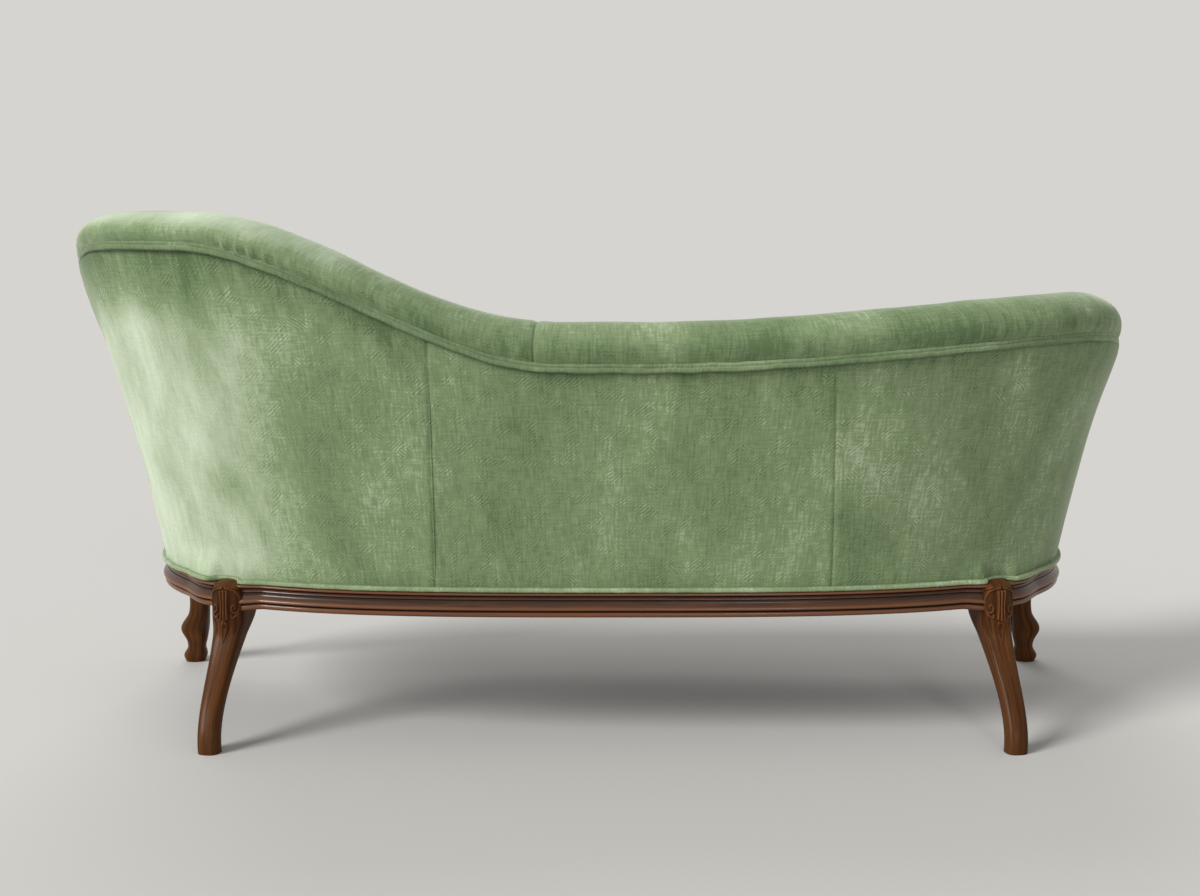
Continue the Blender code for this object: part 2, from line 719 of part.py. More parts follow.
def front_leg(name, side):
    """A front leg with a scroll standing out above its toe."""
    outer = BASE_HALF_LENGTH + FRONT_BLOCK_REACH
    inner = FRONT_BLOCK_INNER
    back = BASE_FRONT - CLEARANCE
    front = FRONT_LINE - FRONT_BLOCK_REACH
    knee = Vector((side * (outer + inner) / 2, (front + back) / 2))
    head_outer = BASE_HALF_LENGTH - REBATE
    head_front = FRONT_LINE + REBATE
    head = Vector((side * (head_outer + inner) / 2, (head_front + back) / 2))
    sweep = Vector((side * FRONT_SIDE_SPLAY, -FRONT_SPLAY))
    rows = []
    for share, width, moved in ((0.84, FRONT_KNEE_WIDTH, 0.15), (0.65, FRONT_SHANK_WIDTH, 0.05),
                                (0.47, FRONT_SHANK_WIDTH, 0.15), (0.28, FRONT_SCROLL_WIDTH, 0.95),
                                (0.20, FRONT_SHANK_WIDTH, 0.70), (0.14, FRONT_ANKLE_WIDTH, 0.75),
                                (0.05, FRONT_TOE_WIDTH, 1.0), (0.0, FOOT_WIDTH, 1.0)):
        rows.append((knee + sweep * moved, (width, width), RAIL_BOTTOM * share, SHANK_SQUARENESS))
    head_size = (head_outer - inner, back - head_front)
    return Leg(name, 0.0, head, head_size, knee, (outer - inner, back - front), rows)


def seat_frame():
    """Rails tenoned into the four legs, with a screwed block in each corner."""
    back = back_or_side_rail("back_rail", RAIL_SETBACK - REAR_LEG_RUN, REAR_LEG_RUN - RAIL_SETBACK)
    front = front_rail(FRONT_BLOCK_INNER + RAIL_ENTRY)
    for end, side in ENDS:
        near = sorted((side * (REAR_LEG_RUN + RAIL_SETBACK), side * (CURVE_RUN + RAIL_ENTRY)))
        rail = back_or_side_rail("side_rail_" + end, *near)
        rear_corner(end, side, back, rail)
        front_corner(end, side, front, rail)


def rear_corner(end, side, back, rail):
    """A rear leg between the back rail and a side rail."""
    leg = rear_leg("rear_leg_" + end, side)
    solid = leg.build()
    boolean(solid, rear_cap(leg), "UNION")
    room = leg.room("_room", leg.knee, leg.knee_size)
    inward = (leg.head - leg.knee).normalized()
    width, depth = leg.knee_size
    stop = leg.room("_rail_stop", leg.knee, (width, depth + 2 * RAIL_DEPTH))
    boolean(back, stop)
    boolean(rail, stop)
    reach = REAR_BLOCK_WIDTH / 2 + 2 * TENON_LENGTH
    for piece, way in ((back, -side), (rail, side)):
        tenon_joint(piece, solid, f"{piece.name}_rear_{end}", place,
                    side * REAR_LEG_RUN + way * TENON_SETBACK, side * REAR_LEG_RUN + way * reach)
    outline = rear_corner_outline(side)
    first, last = Vector(outline[0]), Vector(outline[-1])
    mouth = geometry.intersect_line_line_2d(first, last, leg.head, leg.head + inward * BASE_DEPTH)
    block = corner_block("rear_" + end, outline, room)
    screw("corner_screw_rear_" + end, mouth, -inward, (block, solid))
    leg.room("_cloth_stop", leg.rows[0][0], leg.rows[0][1])


def front_corner(end, side, front, rail):
    """A front leg between the front rail and a side rail."""
    leg = front_leg("front_leg_" + end, side)
    solid = leg.build()
    room = leg.room("_room", leg.knee, leg.knee_size)
    boolean(front, room)
    boolean(rail, room)
    tenon_joint(rail, solid, f"{rail.name}_front_{end}", place,
                side * (CURVE_RUN - TENON_LENGTH), side * (CURVE_RUN + TENON_LENGTH))
    tenon_joint(front, solid, f"{front.name}_{end}", front_point,
                side * (FRONT_BLOCK_INNER - TENON_LENGTH), side * (FRONT_BLOCK_INNER + FRONT_TENON_ENTRY))
    outline = front_corner_outline(side)
    mouth = Vector(outline[-1]).lerp(Vector(outline[0]), FRONT_SCREW_SHARE)
    block = corner_block("front_" + end, outline, room)
    screw("corner_screw_front_" + end, mouth, Vector((0.0, -1.0)), (block, front))


def rear_corner_outline(side):
    """Plan of a rear corner block: along both rails' inner faces and straight across."""
    runs = span(REAR_LEG_RUN - CORNER_BLOCK_LEG, REAR_LEG_RUN + CORNER_BLOCK_LEG)
    return [plan(side * run, -(RAIL_DEPTH + LAYER_GAP)) for run in runs]


def front_corner_outline(side):
    """Plan of a front corner block between the side rail and the front rail."""
    runs = span(CURVE_RUN - CORNER_BLOCK_LEG, CURVE_RUN)
    points = [plan(side * run, -(RAIL_DEPTH + 2 * LAYER_GAP)) for run in runs]
    across = abs(points[-1][0])
    inner = FRONT_LINE + FRONT_RAIL_DEPTH + LAYER_GAP
    return points + [(side * across, inner), (side * (across - CORNER_BLOCK_LEG), inner)]


def corner_block(corner, outline, room):
    """A block in a corner of the frame, as deep as the rails allow."""
    bottom = RAIL_MIDDLE - CORNER_BLOCK_HEIGHT / 2
    block = flat("corner_block_" + corner, outline, bottom, CORNER_BLOCK_HEIGHT, BEECH)
    boolean(block, room)
    return block


def screw(name, mouth, inward, held):
    """A countersunk screw, sunk below a block's face, with its hole in the pieces that it holds."""
    height = RAIL_MIDDLE + TENON_HEIGHT / 2 + SCREW_OVER_TENON
    start = Vector((*(mouth + inward * SCREW_SINK), height))
    turn = Vector((0.0, 0.0, 1.0)).rotation_difference(Vector((*inward, 0.0))).to_matrix()
    head_depth = (SCREW_HEAD_DIAMETER - SCREW_DIAMETER) / 2
    profile = [(0.0, SCREW_HEAD_DIAMETER), (head_depth, SCREW_DIAMETER),
               (SCREW_LENGTH - SCREW_DIAMETER, SCREW_DIAMETER), (SCREW_LENGTH, SCREW_TIP_DIAMETER)]
    loft(name, screw_rings(profile, start, turn), SCREW_STEEL)
    room = [(depth, diameter + 2 * CLEARANCE) for depth, diameter in profile]
    room[-1] = (SCREW_LENGTH + CLEARANCE, SCREW_TIP_DIAMETER + 2 * CLEARANCE)
    room.insert(0, (-SCREW_SINK - SCREW_HEAD_DIAMETER, room[0][1]))
    hole = loft(name + "_hole", screw_rings(room, start, turn), None)
    for piece in held:
        boolean(piece, hole)


def screw_rings(profile, start, turn):
    """Rings of a turned profile of depths and diameters."""
    rings = []
    for depth, diameter in profile:
        ring = []
        for index in range(SCREW_SIDES):
            angle = 2.0 * math.pi * index / SCREW_SIDES
            local = Vector((diameter / 2 * math.cos(angle), diameter / 2 * math.sin(angle), depth))
            ring.append(start + turn @ local)
        rings.append(ring)
    return rings


# Frame of the back


def top_rail_ring(run):
    """Section of the top rail under the roll, never lower than the seat rail."""
    top = rim_height(run) + TOP_RAIL_RISE
    bottom = max(top - TOP_RAIL_HEIGHT, UPHOLSTERY_FOOT)
    corners = []
    for height, inset in ((bottom, FRAME_FACE), (top, FRAME_FACE), (top, FRAME_FACE + FRAME_THICKNESS),
                          (bottom, FRAME_FACE + FRAME_THICKNESS)):
        corners.append(place(run, lean(height) - inset, height))
    return corners


def post_side(run, inset):
    """One side of a post, from the seat rail up to the top rail."""
    heights = post_levels(run)
    heights[0] = RAIL_TOP + CLEARANCE
    heights[-1] -= CLEARANCE * rim_stretch(run)
    return [(lean(height) - inset, height) for height in heights]


def post(name, middle):
    """An upright from the seat rail to the top rail, leaning with the wall."""
    runs = span(middle - POST_WIDTH / 2, middle + POST_WIDTH / 2)
    layer(name, runs, lambda run: post_side(run, FRAME_FACE),
          lambda run: post_side(run, FRAME_FACE + FRAME_THICKNESS), BEECH)


def back_frame():
    joint = CORNER_POST_RUN
    for name, start, end in (("top_rail_low", -END_RUN, -joint - CLEARANCE),
                             ("top_rail_back", -joint, joint),
                             ("top_rail_high", joint + CLEARANCE, END_RUN)):
        loft(name, [top_rail_ring(run) for run in span(start, end)], BEECH)
    for end, side in ENDS:
        post("back_post_" + end, side * BACK_POST_RUN)
        post("corner_post_" + end, side * CORNER_POST_RUN)
        post("arm_post_" + end, side * ARM_POST_RUN)


# Upholstery of the back


def back_upholstery():
    everything = span(-END_RUN, END_RUN)
    layer("back_hessian", everything, lambda run: hessian_side(run, HESSIAN_THICKNESS),
          lambda run: hessian_side(run, 0.0), HESSIAN)
    joint = CORNER_POST_RUN
    filled = COVER_THICKNESS + LAYER_GAP
    for name, start, end in (("arm_stuffing_low", -END_RUN, -joint - SEAM_GAP),
                             ("back_stuffing", -joint, joint),
                             ("arm_stuffing_high", joint + SEAM_GAP, END_RUN)):
        layer(name, span(start, end), lambda run: cover_inside(run, filled), frame_side, STUFFING)
    for name, start, end in (("inside_cover_low", -END_RUN, INSIDE_SEAM_RUN - SEAM_GAP),
                             ("inside_cover_high", INSIDE_SEAM_RUN, END_RUN)):
        layer(name, span(start, end), roll_section, lambda run: cover_inside(run, COVER_THICKNESS), VELVET)
    low_seam = -OUTSIDE_SEAM_LOW_RUN
    high_seam = OUTSIDE_SEAM_HIGH_RUN
    for name, start, end in (("outside_cover_low", -END_RUN, low_seam - SEAM_GAP),
                             ("outside_cover_centre", low_seam, high_seam - SEAM_GAP),
                             ("outside_cover_high", high_seam, END_RUN)):
        layer(name, span(start, end), lambda run: wall_section(run, 0.0),
              lambda run: wall_section(run, COVER_THICKNESS), VELVET)
    arm_facing("arm_front_high", 1)
    arm_facing("arm_front_low", -1)


def arm_facing(name, side):
    """The padded panel that closes the front of an arm."""
    run = side * END_RUN
    wall = [point for point in wall_section(run, 0.0) if point[1] > UPHOLSTERY_FOOT]
    wall.insert(0, (lean(UPHOLSTERY_FOOT), UPHOLSTERY_FOOT))
    inside = roll_section(run)[1:]
    outline = wall[:-1] + inside
    rounded = inset_line(outline, FACING_ROUNDING)
    rounded[0] = (rounded[0][0], outline[0][1])
    rounded[-1] = (rounded[-1][0], outline[-1][1])
    rings = []
    for line, depth in ((outline, LAYER_GAP), (outline, FACING_EDGE), (rounded, FACING_THICKNESS)):
        rings.append([place(run, *point) - Vector((0.0, depth, 0.0)) for point in line])
    loft(name, rings, VELVET)


def trims():
    """Piping under the roll and gimp along the show-wood."""
    line = []
    for run in span(-END_RUN + PIPING_RADIUS, END_RUN - PIPING_RADIUS):
        rim = rim_height(run)
        line.append(place(run, lean(rim) + (PIPING_RADIUS + LAYER_GAP) * lean_stretch(rim), rim))
    tube("top_piping", line, PIPING_RADIUS, PIPING_VELVET)
    height = LEDGE + GIMP_RADIUS + LAYER_GAP
    out = lean(height + GIMP_RADIUS) + GIMP_RADIUS + LAYER_GAP
    tube("base_gimp", [place(run, out, height) for run in STATIONS], GIMP_RADIUS, PIPING_VELVET)
    spots = front_stations(BASE_HALF_LENGTH)
    line = [front_point(across, GIMP_RADIUS + LAYER_GAP, height) for across in spots]
    tube("front_gimp", line, GIMP_RADIUS, PIPING_VELVET)


# Seat


def inner_line(across, out):
    """Y of the base line moved outwards, at a distance across."""
    share = min(abs(across) / (BASE_HALF_LENGTH + out), 1.0)
    return BASE_FRONT + (BASE_DEPTH + out) * (1.0 - share ** BASE_POWER) ** (1.0 / BASE_POWER)


SEAT_HALF_WIDTH = BASE_HALF_LENGTH - INSIDE_LINE - INSIDE_BELLY - SEAT_SIDE_GAP


def seat_section(across):
    """Seat cover's face from the front border over the crown to the back."""
    front = front_line(across)
    back = inner_line(across, -(INSIDE_LINE + INSIDE_BELLY + SEAT_SIDE_GAP))
    edge = SEAT_EDGE_HEIGHT
    points = [(front, BORDER_TOP + CLEARANCE), (front - SEAT_FRONT_BELLY, (BORDER_TOP + edge) / 2)]
    round_off = min(SEAT_FRONT_ROUNDING, (back - front) / 3)
    for angle in (math.pi / 4, math.pi / 2):
        inset = round_off * (1.0 - math.cos(angle))
        points.append((front + inset, edge - round_off * (1.0 - math.sin(angle))))
    crown = SEAT_CROWN * (1.0 - (abs(across) / SEAT_HALF_WIDTH) ** SEAT_CROWN_POWER)
    start = front + round_off
    for step in range(1, SEAT_STEPS + 1):
        share = SEAT_LAST_STEP * step / SEAT_STEPS
        points.append((start + (back - start) * share, edge + crown * math.sin(math.pi * share)))
    points += [(back, edge - SEAT_BACK_ROUNDING), (back, UPHOLSTERY_FOOT + CLEARANCE)]
    return points


def seat_ring(across, line):
    return [Vector((across, back, height)) for back, height in line]


def seat_lines(across, depth, foot):
    """Seat face moved in by a depth, its front end at a set height and its back end level."""
    line = seat_section(across)
    flipped = [(-back, height) for back, height in line]
    moved = [(-back, height) for back, height in inset_line(flipped, depth)]
    moved[0] = (moved[0][0], foot)
    return lower_end(moved, line[-1][1])


def seat():
    covers = []
    fills = []
    for index in range(SEAT_STATIONS):
        angle = math.pi * (index / (SEAT_STATIONS - 1) - 0.5)
        across = SEAT_END_SHARE * SEAT_HALF_WIDTH * math.sin(angle)
        face = seat_section(across)
        lining = seat_lines(across, COVER_THICKNESS, face[0][1])
        covers.append(seat_ring(across, face + lining[::-1]))
        fills.append(seat_ring(across, seat_lines(across, COVER_THICKNESS + LAYER_GAP, face[-1][1])))
    loft("seat_cover", covers, VELVET, split=len(face) - 1)
    loft("seat_stuffing", fills, STUFFING)

    border = []
    for across in front_stations(BASE_HALF_LENGTH):
        corners = ((0.0, BASE_HEIGHT), (0.0, BORDER_TOP), (-COVER_THICKNESS, BORDER_TOP),
                   (-COVER_THICKNESS, BASE_HEIGHT))
        border.append([front_point(across, *corner) for corner in corners])
    loft("front_border", border, VELVET)

    deck = seat_outline(-(FRAME_FACE + FRAME_THICKNESS + 2 * LAYER_GAP), -2 * REBATE)
    flat("seat_hessian", deck, RAIL_TOP + CLEARANCE, HESSIAN_THICKNESS, HESSIAN)


def seat_outline(back_out, front_out):
    """Plan outline inside the base line at the back and sides and along the front line."""
    points = [plan(run, back_out) for run in STATIONS if abs(run) <= CURVE_RUN + CLEARANCE]
    end = abs(points[0][0])
    bowed = [across for across in front_stations(end)[1:-1] if abs(across) < BASE_HALF_LENGTH - INSIDE_LINE]
    fronts = [(across, front_line(across) - front_out) for across in [-end] + bowed + [end]]
    return points + fronts[::-1]


def web_layout():
    cross = [(index - (CROSS_WEBS - 1) / 2) * CROSS_WEB_SPACING for index in range(CROSS_WEBS)]
    first = LONG_WEB_MIDDLE - (LONG_WEBS - 1) / 2 * LONG_WEB_SPACING
    long = [first + index * LONG_WEB_SPACING for index in range(LONG_WEBS)]
    return cross, long


def web_strip(name, line, sideways):
    """A strip of webbing along a line of points."""
    half = WEB_WIDTH / 2
    rings = []
    for point in line:
        ring = []
        for across, up in ((-half, -1), (half, -1), (half, 1), (-half, 1)):
            ring.append(Vector(point) + sideways * across + Vector((0.0, 0.0, up * WEB_THICKNESS / 2)))
        rings.append(ring)
    return loft(name, rings, WEBBING)


def weave(start, end, crossings, first_over):
    """Levels along a strip that passes over and under the strips it crosses."""
    reach = WEB_WIDTH / 2 + WEB_EASE
    levels = [(start, 1.0)]
    for index, crossing in enumerate(crossings):
        over = 1.0 if (index + first_over) % 2 == 0 else -1.0
        levels += [(crossing - reach, over), (crossing + reach, over)]
    levels.append((end, 1.0))
    return [(along, WEB_LEVEL + over * WEB_STEP) for along, over in levels]


def webbing():
    """Interlaced strips tacked under the rails, with a spring on each crossing."""
    cross, long = web_layout()
    for number, across in enumerate(cross):
        front = front_line(across) + RAIL_DEPTH - WEB_LAP
        back = inner_line(across, -RAIL_DEPTH) + WEB_LAP
        line = [(across, along, level) for along, level in weave(front, back, long, number)]
        web_strip(f"cross_web_{number + 1}", line, Vector((1.0, 0.0, 0.0)))
    for number, along in enumerate(long):
        half = BASE_HALF_LENGTH - RAIL_DEPTH
        back = max(along + WEB_WIDTH / 2 - BASE_FRONT, 0.0) / BASE_DEPTH
        end = half * max(1.0 - back ** BASE_POWER, 0.0) ** (1.0 / BASE_POWER) + WEB_LAP / 2
        line = [(across, along, level) for across, level in weave(-end, end, cross, number + 1)]
        web_strip(f"long_web_{number + 1}", line, Vector((0.0, 1.0, 0.0)))
    springs(cross, long)


def springs(cross, long):
    """Waisted coils standing on the webbing under the hessian."""
    bottom = WEB_LEVEL + WEB_STEP + WEB_THICKNESS / 2 + CLEARANCE + SPRING_WIRE / 2
    top = RAIL_TOP - SPRING_WIRE / 2
    count = SPRING_TURNS * SPRING_POINTS_PER_TURN
    number = 0
    for along in long:
        for across in cross:
            number += 1
            line = []
            for step in range(count + 1):
                share = step / count
                angle = 2.0 * math.pi * SPRING_TURNS * share
                radius = SPRING_WAIST + (SPRING_RADIUS - SPRING_WAIST) * (2.0 * share - 1.0) ** 2
                line.append(Vector((across + radius * math.cos(angle), along + radius * math.sin(angle),
                                    bottom + (top - bottom) * share)))
            tube(f"seat_spring_{number}", line, SPRING_WIRE / 2, SPRING_STEEL, resolution=0)
    print("least gap between a spring's turns, mm:", round(coil_gap(line) * 1000, 2))


def coil_gap(line):
    """Least clear distance between points of one coil that are at least half a turn apart."""
    least = math.inf
    apart = SPRING_POINTS_PER_TURN // 2
    for index, point in enumerate(line):
        for other in line[index + apart:]:
            least = min(least, (other - point).length)
    return least - SPRING_WIRE


def dust_cover():
    """Thin cloth under the webbing, cut round the legs."""
    outline = seat_outline(-DUST_COVER_INSET, -DUST_COVER_INSET)
    bottom = WEB_LEVEL - WEB_STEP - WEB_THICKNESS / 2 - CLEARANCE - DUST_COVER_THICKNESS
    cloth = flat("dust_cover", outline, bottom, DUST_COVER_THICKNESS, CAMBRIC)
    for kind, stop in (("rear", "cloth_stop"), ("rear", "room"), ("front", "room")):
        for end, _ in ENDS:
            boolean(cloth, CUTTERS.objects[f"{kind}_leg_{end}_{stop}"])


def set_origin():
    """Hang every piece on an empty that puts the origin on the floor under the box's middle."""
    graph = bpy.context.evaluated_depsgraph_get()
    corners = []
    for made in PARTS.objects:
        evaluated = made.evaluated_get(graph)
        corners += [made.matrix_world @ Vector(corner) for corner in evaluated.bound_box]
    low = Vector([min(corner[axis] for corner in corners) for axis in range(3)])
    high = Vector([max(corner[axis] for corner in corners) for axis in range(3)])
    middle = (low + high) / 2
    hanger = bpy.data.objects.new("settee_origin", None)
    PARTS.objects.link(hanger)
    hanger.location = (-middle.x, -middle.y, -low.z)
    for made in list(PARTS.objects) + list(CUTTERS.objects):
        if made is not hanger:
            made.parent = hanger
    print("moved by", [round(value, 5) for value in hanger.location])
    print("size", [round(value, 4) for value in high - low])


clear_scene()
PARTS = new_collection("spoon_back_settee")
CUTTERS = new_collection("cutters")
seat_frame()
back_frame()
back_upholstery()
trims()
seat()
webbing()
dust_cover()
bpy.context.view_layer.update()
set_origin()
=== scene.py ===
"""Looks of the spoon-back settee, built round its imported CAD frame.

The back and arms follow one line in plan, a superellipse open to the front. A place on them is given by the
run along that line from the middle of the back (positive towards the raised end), the distance outwards from
the line, and the height. Operators alone can't follow that line, the gathers or the carving, so every piece
but the dust cloth starts as a flat grid whose points are laid on such a surface. It is closed into a solid in
edit mode and dressed with a procedural finish. Metres, +Z up, the front facing -Y.
"""

import json
import logging
import math
from dataclasses import dataclass
from enum import Enum
from functools import cached_property, partial
from typing import Any, Callable

import bpy
import numpy as np
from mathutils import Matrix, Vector, noise


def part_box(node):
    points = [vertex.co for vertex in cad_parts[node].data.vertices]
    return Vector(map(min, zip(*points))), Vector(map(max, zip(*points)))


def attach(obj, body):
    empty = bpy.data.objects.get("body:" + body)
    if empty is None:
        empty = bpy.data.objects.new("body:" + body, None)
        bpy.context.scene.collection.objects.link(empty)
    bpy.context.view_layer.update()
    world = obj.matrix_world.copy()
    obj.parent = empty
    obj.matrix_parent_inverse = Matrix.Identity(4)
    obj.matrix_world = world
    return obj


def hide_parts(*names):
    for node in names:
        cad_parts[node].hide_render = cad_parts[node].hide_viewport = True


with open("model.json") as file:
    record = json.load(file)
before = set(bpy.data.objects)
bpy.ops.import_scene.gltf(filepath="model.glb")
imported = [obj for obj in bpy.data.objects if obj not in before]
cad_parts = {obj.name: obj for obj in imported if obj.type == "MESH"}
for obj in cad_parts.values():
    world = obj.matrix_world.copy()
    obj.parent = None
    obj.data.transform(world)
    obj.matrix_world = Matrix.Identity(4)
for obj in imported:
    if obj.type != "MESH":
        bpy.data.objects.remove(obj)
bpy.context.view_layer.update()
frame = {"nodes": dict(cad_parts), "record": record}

Array = np.ndarray
Piece = bpy.types.Object
Finish = bpy.types.Material
LOG = logging.getLogger("settee")


class End(Enum):
    """The two ends of the settee and the side of X that each lies on."""

    HIGH = 1
    LOW = -1

    @property
    def tag(self) -> str:
        """The end's name as it stands in the names of nodes."""
        return self.name.lower()


class Slot(Enum):
    """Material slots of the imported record."""

    WALNUT = "walnut_show_wood"
    BEECH = "beech_frame"
    VELVET = "sage_velvet"
    PIPING = "piping_velvet"
    HESSIAN = "hessian"
    WEBBING = "jute_webbing"
    CAMBRIC = "black_cambric"
    SPRING = "spring_steel"
    SCREW = "screw_steel"


# Shapes shared by the pieces


def smooth(share: Array) -> Array:
    """An S-shaped share.

    Args:
        share: Values that count from 0 to 1.

    Returns:
        0 below 0, 1 above 1, and level at both ends between.
    """
    share = np.clip(share, 0.0, 1.0)
    return share * share * (3.0 - 2.0 * share)


def part(value: Array, start: Array | float, stop: Array | float) -> Array:
    """Share of the way from start to stop, held between 0 and 1."""
    return np.clip((value - start) / (stop - start), 0.0, 1.0)


def hump(value: Array, middle: float, width: Array | float) -> Array:
    """A bell-shaped hump of height 1.

    Args:
        value: Where the hump is wanted.
        middle: Place of its top.
        width: Distance at which it has fallen to about a third.

    Returns:
        The hump's height at each value.
    """
    return np.exp(-(((value - middle) / width) ** 2))


def uneven(along: Array, across: Array, size: float, seed: float) -> Array:
    """Smooth unevenness of a hand-made surface.

    Args:
        along: First coordinate of each place, in metres.
        across: Second coordinate.
        size: Distance between one swelling and the next.
        seed: Picks one pattern among many.

    Returns:
        Values between about -1 and 1.
    """
    spots = zip(along / size, np.broadcast_to(across, along.shape) / size)
    return np.array([noise.noise(Vector((first, second, seed))) for first, second in spots])


def curve_through(at: Array, spots: list[float], values: list[float]) -> Array:
    """A soft curve through points.

    Args:
        at: Where the curve is wanted.
        spots: Rising places of the points.
        values: Values at those places.

    Returns:
        The curve's value at each place.
    """
    places = np.array(spots)
    heights = np.array(values)
    slopes = np.gradient(heights, places)
    index = np.clip(np.searchsorted(places, at) - 1, 0, len(spots) - 2)
    gap = places[index + 1] - places[index]
    share = np.clip((at - places[index]) / gap, 0.0, 1.0)
    rest = 1.0 - share
    before = heights[index] * (1.0 + 2.0 * share) * rest**2
    after = heights[index + 1] * (3.0 - 2.0 * share) * share**2
    return before + after + gap * share * rest * (slopes[index] * rest - slopes[index + 1] * share)


@dataclass(frozen=True)
class TubBack:
    """The line that the back and arms follow in plan, the wall's lean and the rim with its roll."""

    half_length: float = 0.815
    depth: float = 0.504
    power: float = 3.2
    front: float = -0.235
    arm_reach: float = 0.030
    front_bow: float = 0.046
    facing: float = 0.0144
    foot: float = 0.262
    seat_deck: float = 0.2988
    # Foot of an arm facing below the deck, the gap behind it and the gap that keeps other pieces apart
    facing_foot: float = 0.0018
    facing_gap: float = 0.0004
    gap: float = 0.0003
    # Heights of the show-wood: where the cover meets it, its foot and the top of its hidden tacking edge
    ledge: float = 0.2617
    rail_bottom: float = 0.2215
    rail_top: float = 0.2967
    rebate: float = 0.0033
    flare: float = 0.126
    flare_height: float = 0.560
    flare_power: float = 1.2
    dip_height: float = 0.635
    raised_height: float = 0.824
    low_height: float = 0.675
    arm_end_height: float = 0.460
    raised_foot: float = 0.080
    raised_peak: float = 0.600
    low_foot: float = 0.060
    low_peak: float = 0.750
    arm_fall: float = 0.660
    arm_fall_power: float = 1.76
    roll_rise: float = 0.070
    raised_roll_rise: float = 0.053
    roll_narrow: float = 0.340
    roll_width: float = 0.096
    roll_overhang: float = 0.013
    roll_centre_share: float = 0.4
    lip: float = 0.0052
    lip_tuck: float = 0.004
    inside_line: float = 0.085
    inside_belly: float = 0.014
    frame_inset: float = 0.0357
    rear_leg_from_arm: float = 0.482
    block_width: float = 0.056
    sweep: float = 0.015
    inner_sweep: float = 0.010
    sweep_run: float = 0.095
    inner_sweep_run: float = 0.044
    wood_reach: float = 0.007
    side_reach: float = 0.001
    side_reach_run: float = 0.160
    cap_half: float = 0.019
    cap_ease: float = 0.012
    tuck_from: float = 0.780
    tuck_run: float = 0.120
    tuck: float = 0.25
    wall_belly: float = 0.003
    arm_fill: float = 0.0085
    arm_from: float = 0.700
    arm_ease: float = 0.130
    fill_drop: float = 0.085

    @cached_property
    def table(self) -> tuple[Array, Array]:
        """The superellipse as a table.

        Returns:
            Angles round it and the run along the line at each of them.
        """
        even = np.linspace(0.0, 1.0, 4000)
        angles = 0.5 * math.pi * even * even * (3.0 - 2.0 * even)
        along = self.half_length * np.sin(angles) ** (2.0 / self.power)
        back = self.depth * np.cos(angles) ** (2.0 / self.power)
        steps = np.hypot(np.diff(along), np.diff(back))
        return angles, np.concatenate(([0.0], np.cumsum(steps)))

    @cached_property
    def shift(self) -> tuple[float, float]:
        """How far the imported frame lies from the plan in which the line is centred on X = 0."""
        low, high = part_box("front_border")
        return (low.x + high.x) / 2, low.y - (self.front_line_base - self.front_bow)

    @property
    def curve_run(self) -> float:
        """Run at which the curve ends and the straight of an arm begins."""
        return float(self.table[1][-1])

    @property
    def end_run(self) -> float:
        """Run at the front of an arm."""
        return self.curve_run + self.arm_reach

    @property
    def leg_run(self) -> float:
        """Run at the middle of a rear leg."""
        return self.curve_run - self.rear_leg_from_arm

    @property
    def front_line_base(self) -> float:
        """Y of the front beside the arms, in the plan."""
        return self.front - self.arm_reach - self.facing

    def plan(self, run: Array, out: Array) -> tuple[Array, Array]:
        """X and Y of places on the line.

        Args:
            run: Runs along the line.
            out: Distances outwards from it.

        Returns:
            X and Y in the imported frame.
        """
        angles, runs = self.table
        angle = np.interp(np.minimum(np.abs(run), self.curve_run), runs, angles)
        side = np.sign(run) * np.sin(angle) ** (2.0 / self.power)
        back = np.maximum(np.cos(angle), 0.0) ** (2.0 / self.power)
        past = np.maximum(np.abs(run) - self.curve_run, 0.0)
        across = (self.half_length + out) * side + self.shift[0]
        return across, self.front + (self.depth + out) * back - past + self.shift[1]

    def run_at(self, across: Array, out: Array) -> Array:
        """Runs of places on the back that lie at a distance across.

        Args:
            across: X in the plan.
            out: Distances outwards from the line.

        Returns:
            The run of each place.
        """
        angles, runs = self.table
        share = np.minimum(np.abs(across) / (self.half_length + out), 1.0)
        return np.sign(across) * np.interp(np.arcsin(share ** (self.power / 2.0)), angles, runs)

    def place(self, run: Array, out: Array, height: Array) -> Array:
        """Points of the tub back.

        Args:
            run: Runs along the line.
            out: Distances outwards from it.
            height: Heights above the floor.

        Returns:
            One row of X, Y and Z for each place.
        """
        across, back = self.plan(run, out)
        return np.column_stack((across, back, np.broadcast_to(height, across.shape)))

    def front_line(self, across: Array) -> Array:
        """Y of the upholstery's front, bowed forward between the arms.

        Args:
            across: X measured from the settee's middle.

        Returns:
            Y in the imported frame.
        """
        bow = smooth(1.0 - np.abs(across) / (self.half_length - self.inside_line))
        return self.front_line_base - self.front_bow * bow + self.shift[1]

    def inner_line(self, across: Array, out: float) -> Array:
        """Y of the line moved outwards.

        Args:
            across: X measured from the settee's middle.
            out: How far it is moved.

        Returns:
            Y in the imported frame.
        """
        share = np.minimum(np.abs(across) / (self.half_length + out), 1.0)
        back = (self.depth + out) * (1.0 - share**self.power) ** (1.0 / self.power)
        return self.front + back + self.shift[1]

    def lean(self, height: Array) -> Array:
        """How far the wall lies out from the line at a height."""
        above = np.maximum(height - self.foot, 0.0)
        return self.flare * (above / self.flare_height) ** self.flare_power

